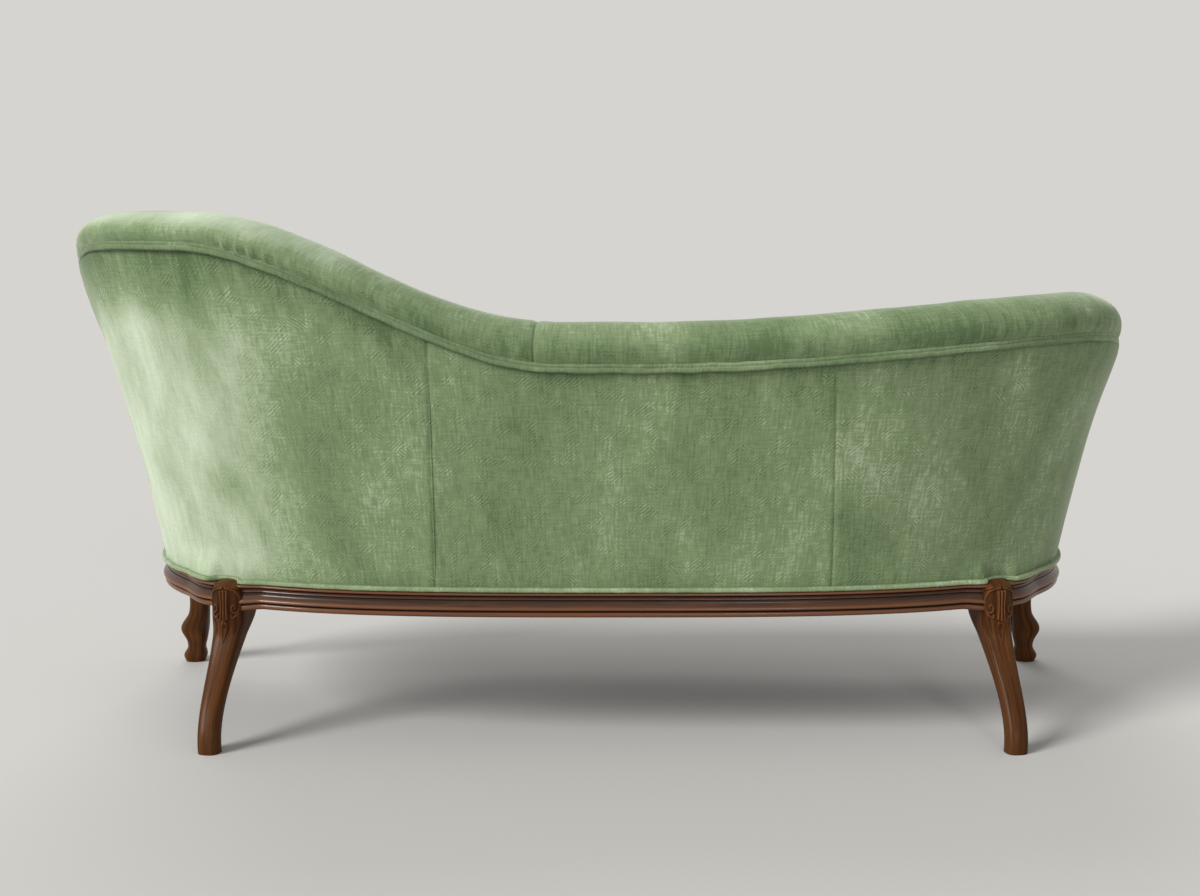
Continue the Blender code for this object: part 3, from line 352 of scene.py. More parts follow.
    def rim(self, run: Array) -> Array:
        """Height of the piping under the roll.

        Args:
            run: Runs along the line.

        Returns:
            The height at each run.
        """
        raised = smooth((run - self.raised_foot) / (self.raised_peak - self.raised_foot))
        lowered = smooth((-run - self.low_foot) / (self.low_peak - self.low_foot))
        rim = self.dip_height + (self.raised_height - self.dip_height) * raised
        rim = rim + (self.low_height - self.dip_height) * lowered
        fallen = np.maximum(np.abs(run) - self.arm_fall, 0.0) / (self.end_run - self.arm_fall)
        return rim + (self.arm_end_height - rim) * smooth(fallen**self.arm_fall_power)

    def rim_stretch(self, run: Array) -> Array:
        """How much an upright cut through the sloping rim is taller than a square cut."""
        step = 0.004
        return np.hypot(1.0, (self.rim(run + step) - self.rim(run - step)) / (2.0 * step))

    def rise(self, run: Array) -> Array:
        """Height of the roll above the piping, kept full where the arms fall steeply.

        Args:
            run: Runs along the line.

        Returns:
            The rise at each run.
        """
        narrowed = smooth((run - self.raised_foot) / (self.roll_narrow - self.raised_foot))
        rise = self.roll_rise + (self.raised_roll_rise - self.roll_rise) * narrowed
        on_arm = smooth((np.abs(run) - self.arm_fall) / (self.curve_run - self.arm_fall))
        return rise * (1.0 + (self.rim_stretch(run) - 1.0) * on_arm)

    def from_leg(self, run: Array) -> Array:
        """Distance along the line from the middle of the nearer rear leg."""
        return np.abs(np.abs(run) - self.leg_run)

    def swept(self, run: Array) -> Array:
        """How far the show-wood sweeps out beyond its usual reach beside a rear leg.

        Args:
            run: Runs along the line.

        Returns:
            The sweep at each run, which is less towards the middle of the back.
        """
        inside = np.abs(run) < self.leg_run
        most = np.where(inside, self.inner_sweep, self.sweep)
        length = np.where(inside, self.inner_sweep_run, self.sweep_run)
        return most * (1.0 - smooth((self.from_leg(run) - self.block_width / 2) / length))

    def wood_out(self, run: Array) -> Array:
        """How far the show-wood stands out from the line, less along the arms, with its sweep to the legs."""
        beside = smooth((np.abs(run) - self.leg_run) / self.side_reach_run)
        return self.wood_reach + (self.side_reach - self.wood_reach) * beside + self.swept(run)

    def standing(self, run: Array) -> Array:
        """Share of its overhang that the roll keeps, drawn in along the arms."""
        return 1.0 - self.tuck * smooth((np.abs(run) - self.tuck_from) / self.tuck_run)

    def wall(self, run: Array, height: Array) -> Array:
        """How far the outside cover lies out from the line.

        Args:
            run: Runs along the line.
            height: Heights above the floor.

        Returns:
            The wall's lean and belly, filled out under the roll along the arms.
        """
        rim = self.rim(run)
        up = part(height, self.foot, rim)
        out = self.lean(height) + self.wall_belly * np.sin(math.pi * up) ** 0.7
        filled = self.arm_fill * smooth((np.abs(run) - self.arm_from) / self.arm_ease)
        return out + filled * hump(np.maximum(rim - height, 0.0), 0.0, self.fill_drop)

    def inside_swell(self, down: Array) -> Array:
        """How far the inside swells over the seat, from the roll down to its deck."""
        return self.inside_belly * np.sin(math.pi * np.minimum(down, 0.5))

    def foot_reach(self, run: Array) -> Array:
        """How far the cover's foot follows that sweep, drawn back behind the cap of the leg."""
        return self.swept(run) * smooth((self.from_leg(run) - self.cap_half) / self.cap_ease)


# Modelling steps


@dataclass
class Skin:
    """Where the points of a flat grid go on a piece, and what its surface carries there."""

    places: Array
    cloth: Array
    # Relief, 0 in grooves and hollows and 1 on crests: the velvet darkens low relief as painted shade, and
    # the walnut lightens high relief with a painted highlight
    relief: Array
    # Painted light above 0 and painted shade below 0 on the pile, partly in streaks of its nap
    nap_and_light: Array | None = None


SETTLE_FRAMES = 20
# Points closer than this are welded
WELD = 0.00002
# Points of a cover that are less free than this are tacked down
LEAST_FREE = 0.02
Shape = Callable[[Array, Array], Skin]
Edge = Callable[[Array], Array]
Path = tuple[tuple[float, float], ...]


def alone(piece: Piece) -> None:
    """Select one piece and nothing else.

    Args:
        piece: The piece.
    """
    bpy.ops.object.select_all(action="DESELECT")
    piece.select_set(True)
    bpy.context.view_layer.objects.active = piece


def points(piece: Piece) -> Array:
    """Places of a piece's vertices.

    Args:
        piece: The piece.

    Returns:
        One row of X, Y and Z for each vertex.
    """
    spots = np.empty(len(piece.data.vertices) * 3)
    piece.data.vertices.foreach_get("co", spots)
    return spots.reshape(-1, 3)


def model(name: str, columns: int, rows: int, shape: Shape, sharp: float = 50.0) -> Piece:
    """A closed piece from a grid laid on a surface that comes back to itself across its rows.

    Args:
        name: The piece's name.
        columns: Cells along the piece.
        rows: Cells round its section.
        shape: Gives the skin for shares along the piece and round its section.
        sharp: Angle in degrees above which an edge stays crisp.

    Returns:
        The piece, at the origin, with its UV map in metres.
    """
    bpy.ops.object.select_all(action="DESELECT")
    bpy.ops.mesh.primitive_grid_add(x_subdivisions=columns, y_subdivisions=rows, size=1.0)
    piece = bpy.context.object
    piece.name = name
    mesh = piece.data
    mesh.name = name
    flat = points(piece)
    skin = shape(np.clip(flat[:, 0] + 0.5, 0.0, 1.0), np.clip(flat[:, 1] + 0.5, 0.0, 1.0))
    mesh.vertices.foreach_set("co", skin.places.astype(np.float32).ravel())
    corners = np.empty(len(mesh.loops), np.int32)
    mesh.loops.foreach_get("vertex_index", corners)
    mesh.uv_layers.active.data.foreach_set("uv", skin.cloth[corners].astype(np.float32).ravel())
    carried = {"relief": skin.relief, "nap_and_light": np.zeros(len(flat)) if skin.nap_and_light is None else skin.nap_and_light}
    for layer, values in carried.items():
        mesh.attributes.new(layer, "FLOAT", "POINT").data.foreach_set("value", values.astype(np.float32))
    mesh.update()
    close(piece)
    bpy.ops.object.shade_smooth_by_angle(angle=math.radians(sharp))
    return piece


def close(piece: Piece) -> None:
    """Weld a piece's seam, fill its open ends and turn its faces outwards.

    Args:
        piece: The piece.
    """
    alone(piece)
    bpy.ops.object.mode_set(mode="EDIT")
    bpy.ops.mesh.select_mode(type="VERT")
    bpy.ops.mesh.select_all(action="SELECT")
    bpy.ops.mesh.remove_doubles(threshold=WELD)
    bpy.ops.mesh.select_all(action="SELECT")
    bpy.ops.mesh.fill_holes(sides=0)
    bpy.ops.mesh.select_all(action="SELECT")
    bpy.ops.mesh.normals_make_consistent(inside=False)
    bpy.ops.object.mode_set(mode="OBJECT")


def settle(piece: Piece, free: Array, pressure: float, slack: float, most: float) -> None:
    """Let the stuffing push out a padded piece's cover in a short cloth simulation, and keep the result.

    Args:
        piece: The piece.
        free: For each vertex, from 0 where the cover is tacked down to 1 where it may move.
        pressure: How hard the stuffing pushes.
        slack: Share by which the cover is larger than the shape it starts from.
        most: How far a point may move, in metres.
    """
    alone(piece)
    scene = bpy.context.scene
    mesh = piece.data
    before = points(piece)
    tacked = piece.vertex_groups.new(name="tacked")
    tacked.add([int(spot) for spot in np.flatnonzero(free < LEAST_FREE)], 1.0, "REPLACE")
    cloth = piece.modifiers.new("Cloth", "CLOTH")
    cloth.settings.vertex_group_mass = tacked.name
    cloth.settings.use_pressure = True
    cloth.settings.uniform_pressure_force = pressure
    cloth.settings.shrink_min = -slack
    cloth.settings.effector_weights.gravity = 0.0
    cloth.point_cache.frame_start = 1
    cloth.point_cache.frame_end = SETTLE_FRAMES
    for moment in range(1, SETTLE_FRAMES + 1):
        scene.frame_set(moment)
    after = points(piece.evaluated_get(bpy.context.evaluated_depsgraph_get()))
    piece.modifiers.remove(cloth)
    piece.vertex_groups.remove(tacked)
    scene.frame_set(1)
    move = (after - before) * free[:, None]
    length = np.linalg.norm(move, axis=1, keepdims=True) + 1e-9
    move *= most * np.tanh(length / most) / length
    mesh.vertices.foreach_set("co", (before + move).ravel())
    mesh.update()
    furthest = 1000.0 * float(np.linalg.norm(move, axis=1).max())
    LOG.info("%s: settled, moved %.1f mm at most", piece.name, furthest)


def fit(piece: Piece, finish: Finish, nodes: list[str]) -> None:
    """Dress a piece and set it in the frame.

    Args:
        piece: The finished piece.
        finish: Its material.
        nodes: CAD nodes that the piece stands for.
    """
    piece.data.materials.clear()
    piece.data.materials.append(finish)
    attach(piece, "root")
    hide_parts(*nodes)
    LOG.info("%s: %d faces, for %s", piece.name, len(piece.data.polygons), ", ".join(nodes))


# Finishes


def linear(colour: str) -> tuple[float, float, float, float]:
    """An sRGB colour made linear.

    Args:
        colour: The colour as a hex value.

    Returns:
        Linear red, green, blue and alpha.
    """
    tones = [int(colour[place:place + 2], 16) / 255.0 for place in (1, 3, 5)]
    light = [tone / 12.92 if tone <= 0.04045 else ((tone + 0.055) / 1.055) ** 2.4 for tone in tones]
    return (*light, 1.0)


def feed(tree: bpy.types.NodeTree, node: bpy.types.Node, links: dict[Any, Any]) -> None:
    """Link or set inputs of a node.

    Args:
        tree: Node tree that holds it.
        node: The node.
        links: For each input, by name or number, a socket to link or a value to set.
    """
    for key, source in links.items():
        if isinstance(source, bpy.types.NodeSocket):
            tree.links.new(source, node.inputs[key])
        else:
            node.inputs[key].default_value = source


def add(tree: bpy.types.NodeTree, kind: str, links: dict[Any, Any], out: int | str = 0,
        **settings: Any) -> bpy.types.NodeSocket:
    """Add a node with its settings and links.

    Args:
        tree: Node tree that gets the node.
        kind: The node's type name after "ShaderNode".
        links: Its inputs, as for feed.
        out: The output that is wanted, by name or number.
        settings: Properties of the node.

    Returns:
        That output of the new node.
    """
    node = tree.nodes.new("ShaderNode" + kind)
    for key, value in settings.items():
        setattr(node, key, value)
    feed(tree, node, links)
    return node.outputs[out]


def new_finish(name: str) -> tuple[Finish, bpy.types.NodeTree, bpy.types.Node]:
    """Start a material.

    Args:
        name: The finish's name.

    Returns:
        An empty material, its node tree and its surface shader.
    """
    made = bpy.data.materials.new(name)
    made.use_nodes = True
    return made, made.node_tree, made.node_tree.nodes["Principled BSDF"]


@dataclass(frozen=True)
class CutVelvet:
    """Cotton velvet with a cut pile.

    The pile lies this way and that where it was brushed or leaned on, so patches and upright streaks look
    lighter or darker, and it glows softly where it is seen edge on.
    """

    # The attributes that the pieces carry lay painted light and shade on top of the pile's own marks
    name: str
    deep: str
    body: str
    light: str
    glow: str = "#e2e9d9"
    # Colour of the painted shade in seams, grooves and under the cords
    seam: str = "#2b3524"
    # Sizes of the marks along and across the cloth, in metres: patches that hands and backs have brushed,
    # mottles inside them, streaks where the cloth was drawn up, and faint pressed strokes leaning either way
    patch: tuple[float, float] = (0.150, 0.300)
    mottle: tuple[float, float] = (0.040, 0.100)
    streak: tuple[float, float] = (0.014, 0.090)
    turned: tuple[float, float] = (0.034, 0.030)
    pressed: tuple[float, float] = (0.028, 0.022)
    stroke: float = 0.0048
    pressing: float = 0.12
    lean: float = math.radians(48)
    # Threads of the ground are finer than the render shows, so they are drawn about four times as coarse
    warp: tuple[float, float] = (0.0036, 0.0260)
    weft: tuple[float, float] = (0.0220, 0.0034)
    # Shares of the warp and the weft in the tone
    threads: tuple[float, float] = (0.22, 0.16)

    def build(self) -> Finish:
        """Make the material.

        Returns:
            The velvet, for pieces with a UV map in metres, a relief attribute whose low values darken it to
            the seam colour as painted shade, and an attribute that carries painted light and shade on the
            pile.
        """
        made, tree, shader = new_finish(self.name)
        cloth = add(tree, "UVMap", {}, uv_map="UVMap")
        # Size, detail, distortion and share in the tone of each mark
        marks = {"patch": (self.patch, 2.0, 0.5, 0.34), "mottle": (self.mottle, 3.0, 0.6, 0.14),
                 "streak": (self.streak, 2.0, 0.3, 0.06), "turned": (self.turned, 1.0, 0.4, 0.0),
                 "pressed": (self.pressed, 2.0, 0.4, 0.0), "warp": (self.warp, 1.0, 0.2, 0.0),
                 "weft": (self.weft, 1.0, 0.2, 0.0)}
        tones = {}
        tone = 0.0
        for offset, (kind, (size, detail, bend, share)) in enumerate(marks.items()):
            laid = add(tree, "Mapping", {
                "Vector": cloth, "Location": (3.7 * offset, 1.9 * offset, offset), "Scale": (*size, 1.0)},
                vector_type="TEXTURE")
            tones[kind] = add(tree, "TexNoise", {"Vector": laid, "Scale": 1.0, "Detail": detail,
                                                 "Roughness": 0.5, "Distortion": bend})
            if share:
                tone = add(tree, "Math", {0: tones[kind], 1: share, 2: tone}, operation="MULTIPLY_ADD")
        strokes = []
        for turn in (self.lean, -self.lean):
            laid = add(tree, "Mapping", {
                "Vector": cloth, "Rotation": (0.0, 0.0, turn), "Scale": (self.stroke, self.stroke, 1.0)},
                vector_type="TEXTURE")
            # A wave of this scale has one crest to each unit
            strokes.append(add(tree, "TexWave", {
                "Vector": laid, "Scale": math.pi / 10.0, "Distortion": 5.0, "Detail": 2.0,
                "Detail Scale": 0.9, "Detail Roughness": 0.5}, "Fac"))
        side = add(tree, "MapRange", {"Value": tones["turned"], "From Min": 0.53, "From Max": 0.60})
        stroke = add(tree, "Mix", {0: side, 2: strokes[0], 3: strokes[1]}, data_type="FLOAT")
        stroke = add(tree, "Math", {0: stroke, 1: 0.5}, operation="SUBTRACT")
        felt = add(tree, "MapRange", {"Value": tones["pressed"], "From Min": 0.46, "From Max": 0.66})
        nap_and_light = add(tree, "Attribute", {}, "Fac", attribute_name="nap_and_light")
        # Where painted light makes the pile paler, the pressed strokes and the threads fade
        kept = add(tree, "MapRange", {"Value": nap_and_light, "From Max": 0.9, "To Min": 1.0, "To Max": 0.40})
        felt = add(tree, "Math", {0: felt, 1: kept}, operation="MULTIPLY")
        pressed = add(tree, "Math", {0: stroke, 1: felt}, operation="MULTIPLY")
        tone = add(tree, "Math", {0: pressed, 1: self.pressing, 2: tone}, operation="MULTIPLY_ADD")
        # The threads add nothing to the tone on the whole, and they fade where painted light makes the pile
        # paler
        threads = -0.5 * sum(self.threads)
        for kind, share in zip(("warp", "weft"), self.threads):
            threads = add(tree, "Math", {0: tones[kind], 1: share, 2: threads}, operation="MULTIPLY_ADD")
        tone = add(tree, "Math", {0: tone, 1: 0.5 * sum(self.threads)}, operation="ADD")
        tone = add(tree, "Math", {0: threads, 1: kept, 2: tone}, operation="MULTIPLY_ADD")
        relief = add(tree, "Attribute", {}, "Fac", attribute_name="relief")
        # The attribute that carries painted light and shade, weighted by upright streaks: lighter where it is
        # above 0, darker where it is below 0
        soft = add(tree, "MapRange", {"Value": nap_and_light, "From Max": 0.9, "To Min": 0.07, "To Max": 0.115})
        brushed = add(tree, "MapRange", {"Value": tones["streak"], "From Min": 0.30, "From Max": 0.68,
                                         "To Min": 0.15, "To Max": soft})
        tone = add(tree, "Math", {0: nap_and_light, 1: brushed, 2: tone}, operation="MULTIPLY_ADD")
        low = add(tree, "MapRange", {"Value": tone, "From Min": 0.30, "From Max": 0.51})
        high = add(tree, "MapRange", {"Value": tone, "From Min": 0.50, "From Max": 0.74})
        colour = add(tree, "Mix", {0: low, 6: linear(self.deep), 7: linear(self.body)}, 2,
                     data_type="RGBA")
        colour = add(tree, "Mix", {0: high, 6: colour, 7: linear(self.light)}, 2, data_type="RGBA")
        # Low relief darkens the cloth to the seam colour: painted shade in seams, grooves and under the cords
        crevice_shade = add(tree, "MapRange", {"Value": relief, "From Min": 0.0, "From Max": 0.75})
        colour = add(tree, "Mix", {0: crevice_shade, 6: linear(self.seam), 7: colour}, 2, data_type="RGBA")
        ground = add(tree, "Math", {0: tones["warp"], 1: tones["weft"]}, operation="ADD")
        height = add(tree, "Math", {0: ground, 1: 0.45, 2: pressed}, operation="MULTIPLY_ADD")
        bump = add(tree, "Bump", {"Strength": 0.25, "Distance": 0.0012, "Height": height})
        rough = add(tree, "MapRange", {"Value": tones["mottle"], "To Min": 0.76, "To Max": 0.92})
        feed(tree, shader, {"Base Color": colour, "Normal": bump, "Roughness": rough,
                            "Specular IOR Level": 0.16, "Sheen Weight": 0.60, "Sheen Roughness": 0.36,
                            "Sheen Tint": linear(self.glow)})
        return made


@dataclass(frozen=True)
class PolishedWalnut:
    """Walnut, carved and moulded, stained and French polished.

    Long dark pores and colour bands run with the grain, the hollows are darker, and the crests are lighter,
    where the polish is rubbed thinner and where a painted highlight lies on them.
    """

    name: str = "french_polished_walnut"
    dark: str = "#160a05"
    body: str = "#38200f"
    light: str = "#54311b"
    hollow: str = "#0a0502"
    # Colour of the crests: rubbed polish with a painted highlight
    wear_and_highlight: str = "#74492c"
    polish: float = 0.45
    shine: float = 0.14
    band: tuple[float, float] = (0.160, 0.0075)
    pore: tuple[float, float] = (0.022, 0.0009)

    def build(self) -> Finish:
        """Make the material.

        Returns:
            The walnut, with its grain along U of the UV map.
        """
        made, tree, shader = new_finish(self.name)
        wood = add(tree, "UVMap", {}, uv_map="UVMap")
        tones = []
        for offset, (along, across) in enumerate((self.band, self.pore)):
            laid = add(tree, "Mapping", {"Vector": wood, "Location": (offset, 2.0 * offset, 0.0),
                                         "Scale": (1.0 / along, 1.0 / across, 1.0)})
            tones.append(add(tree, "TexNoise", {
                "Vector": laid, "Scale": 1.0, "Detail": 4.0, "Roughness": 0.55,
                "Distortion": 0.9 - 0.6 * offset}))
        band, pore = tones
        relief = add(tree, "Attribute", {}, "Fac", attribute_name="relief")
        colour = linear(self.body)
        # What lays each tint over the last: lighter bands, dark pores, darker hollows, and crests lightened
        # by rubbed polish and a painted highlight
        for source, first, last, most, tint in ((band, 0.34, 0.66, 1.0, self.light),
                                                (pore, 0.56, 0.72, 0.75, self.dark),
                                                (relief, 0.5, 0.05, 0.92, self.hollow),
                                                (relief, 0.70, 1.0, 0.70, self.wear_and_highlight)):
            share = add(tree, "MapRange", {"Value": source, "From Min": first, "From Max": last,
                                           "To Max": most})
            colour = add(tree, "Mix", {0: share, 6: colour, 7: linear(tint)}, 2, data_type="RGBA")
        rough = add(tree, "MapRange", {"Value": band, "To Min": 0.34, "To Max": 0.50})
        bump = add(tree, "Bump", {"Strength": 0.22, "Distance": 0.0004, "Height": pore})
        feed(tree, shader, {"Base Color": colour, "Roughness": rough, "Normal": bump,
                            "Specular IOR Level": self.shine, "Coat Weight": self.polish,
                            "Coat Roughness": 0.17})
        return made


@dataclass(frozen=True)
class PlainWood:
    """Beech from the saw and plane, left unfinished: pale, with short dark flecks along the grain."""

    name: str = "planed_beech"
    body: str = "#c59f74"
    fleck: str = "#9a7248"
    # Length and width of a fleck, in metres
    fleck_size: tuple[float, float] = (0.01667, 0.0025)

    def build(self) -> Finish:
        """Make the material.

        Returns:
            The finish, on Object coordinates.
        """
        made, tree, shader = new_finish(self.name)
        spot = add(tree, "TexCoord", {}, "Object")
        length, width = self.fleck_size
        laid = add(tree, "Mapping", {"Vector": spot, "Scale": (1.0 / length, 1.0 / width, 1.0 / width)})
        grain = add(tree, "TexNoise", {"Vector": laid, "Scale": 1.0, "Detail": 3.0})
        share = add(tree, "MapRange", {"Value": grain, "From Min": 0.45, "From Max": 0.7})
        colour = add(tree, "Mix", {0: share, 6: linear(self.body), 7: linear(self.fleck)}, 2,
                     data_type="RGBA")
        feed(tree, shader, {"Base Color": colour, "Roughness": 0.62})
        return made


@dataclass(frozen=True)
class PlainWeave:
    """A plain-woven cloth: threads over and under each other, seen as a fine check."""

    name: str
    thread: str
    gap: str
    spacing: float
    roughness: float = 0.92

    def build(self) -> Finish:
        """Make the material.

        Returns:
            The weave, on Object coordinates.
        """
        made, tree, shader = new_finish(self.name)
        spot = add(tree, "TexCoord", {}, "Object")
        heights = []
        for way in ("X", "Y"):
            # A wave of scale s repeats every pi / (10 s), so this gives one wave for each thread
            heights.append(add(tree, "TexWave", {"Vector": spot, "Scale": math.pi / 10 / self.spacing,
                                                 "Distortion": 0.4, "Detail": 1.0}, "Fac",
                               bands_direction=way))
        woven = add(tree, "Math", {0: heights[0], 1: heights[1]}, operation="MULTIPLY")
        # Thick places in the yarn are about eight threads long
        slub = add(tree, "TexNoise", {"Vector": spot, "Scale": 0.12 / self.spacing, "Detail": 3.0})
        share = add(tree, "Math", {0: woven, 1: slub}, operation="ADD")
        share = add(tree, "MapRange", {"Value": share, "From Min": 0.3, "From Max": 1.1})
        colour = add(tree, "Mix", {0: share, 6: linear(self.gap), 7: linear(self.thread)}, 2,
                     data_type="RGBA")
        bump = add(tree, "Bump", {"Strength": 0.5, "Distance": self.spacing / 4, "Height": woven})
        feed(tree, shader, {"Base Color": colour, "Normal": bump, "Roughness": self.roughness})
        return made


@dataclass(frozen=True)
class DrawnSteel:
    """Steel drawn through a die: grey, fairly bright, with faint marks and patches of dull film."""

    name: str
    bright: str
    dull: str
    roughness: float = 0.34
    # Size of a patch of film, in metres
    patch: float = 0.0111

    def build(self) -> Finish:
        """Make the material.

        Returns:
            The finish, on Object coordinates.
        """
        made, tree, shader = new_finish(self.name)
        spot = add(tree, "TexCoord", {}, "Object")
        film = add(tree, "TexNoise", {"Vector": spot, "Scale": 1.0 / self.patch, "Detail": 4.0})
        colour = add(tree, "Mix", {0: film, 6: linear(self.bright), 7: linear(self.dull)}, 2,
                     data_type="RGBA")
        rough = add(tree, "MapRange", {"Value": film, "To Min": self.roughness - 0.08,
                                       "To Max": self.roughness + 0.12})
        feed(tree, shader, {"Base Color": colour, "Roughness": rough, "Metallic": 1.0})
        return made


# Upholstery of the back


@dataclass(frozen=True)
class OutsideBack:
    """The three velvet panels of the outside, sewn to each other and drawn up under the piping."""

    tub: TubBack
    velvet: Finish
    # X of each seam in the plan, at its foot and at the piping
    seam_high: tuple[float, float] = (0.2898, 0.2895)
    seam_low: tuple[float, float] = (-0.3585, -0.3474)
    cloth: float = 0.003
    turned_in: float = 0.002
    foot_ease: float = 0.060
    seam_depth: float = 0.0013
    seam_width: float = 0.0024
    column: float = 0.0037
    crowding: float = 0.7
    row: float = 0.0045
    face_share: float = 0.93
    # Painted shade under the piping: how far down it reaches, and the runs between which it is strongest, in
    # streaks of brushed pile; then where painted light towards the raised end starts, over what run it grows,
    # and how strong it is
    shade_drop: float = 0.058
    brushed: tuple[float, float] = (0.34, 0.86)
    pale_from: float = 0.42
    pale_run: float = 0.30
    pale: float = 1.60

    def build(self) -> None:
        """Make the panels."""
        arms = [partial(np.full_like, fill_value=side * self.tub.end_run) for side in (-1.0, 1.0)]
        seams = [partial(self.seam, ends) for ends in (self.seam_low, self.seam_high)]
        for name, start, stop in (("low", arms[0], seams[0]), ("centre", *seams),
                                  ("high", seams[1], arms[1])):
            first, last = float(start(np.zeros(1))[0]), float(stop(np.zeros(1))[0])
            tallest = float(self.tub.rim(np.linspace(first, last, 99)).max()) - self.tub.foot
            columns = math.ceil((last - first) / self.column)
            rows = math.ceil(tallest / self.row / self.face_share)
            piece = model("outside_back_" + name, columns, rows, partial(self.panel, start, stop))
            fit(piece, self.velvet, ["outside_cover_" + name])

    def seam(self, ends: tuple[float, float], up: Array) -> Array:
        """Runs along a seam, which hangs plumb on the leaning wall.

        Args:
            ends: X of the seam at its foot and at the piping.
            up: Share of the way up the wall.

        Returns:
            The run at each place.
        """
        tub = self.tub
        lean = tub.lean(tub.foot + (tub.rim(np.array(ends[1])) - tub.foot) * up)
        return tub.run_at(ends[0] + (ends[1] - ends[0]) * up, lean)

    def panel(self, start: Edge, stop: Edge, along: Array, round_: Array) -> Skin:
        """One panel's skin.

        Args:
            start: Gives the runs up its low end.
            stop: Gives the runs up its high end.
            along: Share of the way to the high end.
            round_: Share of the way round the section, the face first and the lining after.

        Returns:
            The skin.
        """
        tub = self.tub
        eased = along - self.crowding * np.sin(2.0 * math.pi * along) / (2.0 * math.pi)
        on_face = round_ <= self.face_share
        up = np.where(on_face, round_ / self.face_share, (1.0 - round_) / (1.0 - self.face_share))
        run = start(up) + (stop(up) - start(up)) * eased
        rim = tub.rim(run)
        height = tub.foot + (rim + self.turned_in - tub.foot) * up
        below = rim - height
        above = height - tub.foot
        out = tub.wall(run, height)
        out += tub.foot_reach(run) * (1.0 - smooth(above / self.foot_ease))
        out += 0.0012 * uneven(run, height, 0.070, 1.5)
        out += 0.0006 * uneven(run, height * 0.25, 0.016, 4.5) * np.exp(-below / 0.040)
        out += 0.0008 * uneven(run, height * 0.25, 0.013, 7.5) * np.exp(-above / 0.030)
        out -= 0.002 * hump(below, 0.0, 0.006)
        # Painted shade in a line just under the piping
        relief = 1.0 - 0.45 * hump(below, 0.0075, 0.003)
        for ends in (self.seam_low, self.seam_high):
            away = np.abs(run - self.seam(ends, up))
            pucker = 1.0 + 0.35 * uneven(height, run * 0.0, 0.011, 2.5)
            out -= self.seam_depth * pucker * hump(away, 0.0, self.seam_width)
            out += 0.0006 * hump(away, 0.009, 0.006)
            # Painted shade in the seam's groove
            relief -= 0.20 * hump(away, 0.0, 0.6 * self.seam_width)
        out = np.where(on_face, out, out - self.cloth)
        cloth = np.column_stack((run, height))
        nap_and_light = self.pile_and_light(run, below, above)
        # Below the arm facing the cover goes on to the border at the front
        ahead = (tub.facing - tub.facing_gap) * smooth((np.abs(run) - tub.end_run + 0.004) / 0.004)
        run = run + np.sign(run) * ahead * (height < tub.seat_deck - tub.facing_foot)
        return Skin(tub.place(run, out, height), cloth, np.clip(relief, 0, 1), nap_and_light)

    def pile_and_light(self, run: Array, below: Array, above: Array) -> Array:
        """Painted light and shade on the pile: painted shade under the piping, in ragged streaks of brushed
        pile, painted light towards the raised end, and painted shade just above the show-wood.

        Args:
            run: Runs along the back.
            below: Distances below the piping.
            above: Distances above the show-wood.

        Returns:
            Values below 0 where painted shade makes the pile darker and above 0 where painted light makes it
            paler.
        """
        start, stop = self.brushed
        strong = smooth((run - start + 0.10) / 0.14) * smooth((stop + 0.08 - run) / 0.16)
        ragged = self.shade_drop * (1.0 + 0.45 * uneven(run, above * 0.0, 0.030, 18.5))
        # Painted shade under the piping with a ragged edge, and painted light towards the raised end
        dark = hump(np.maximum(below, 0.0), 0.0, ragged) * (0.40 + 0.60 * strong)
        pale = self.pale * smooth((run - self.pale_from) / self.pale_run) * smooth((below - 0.050) / 0.090)
        # The last term is painted shade just above the show-wood, under the gimp
        return pale - dark - 0.30 * hump(above, 0.012, 0.016)


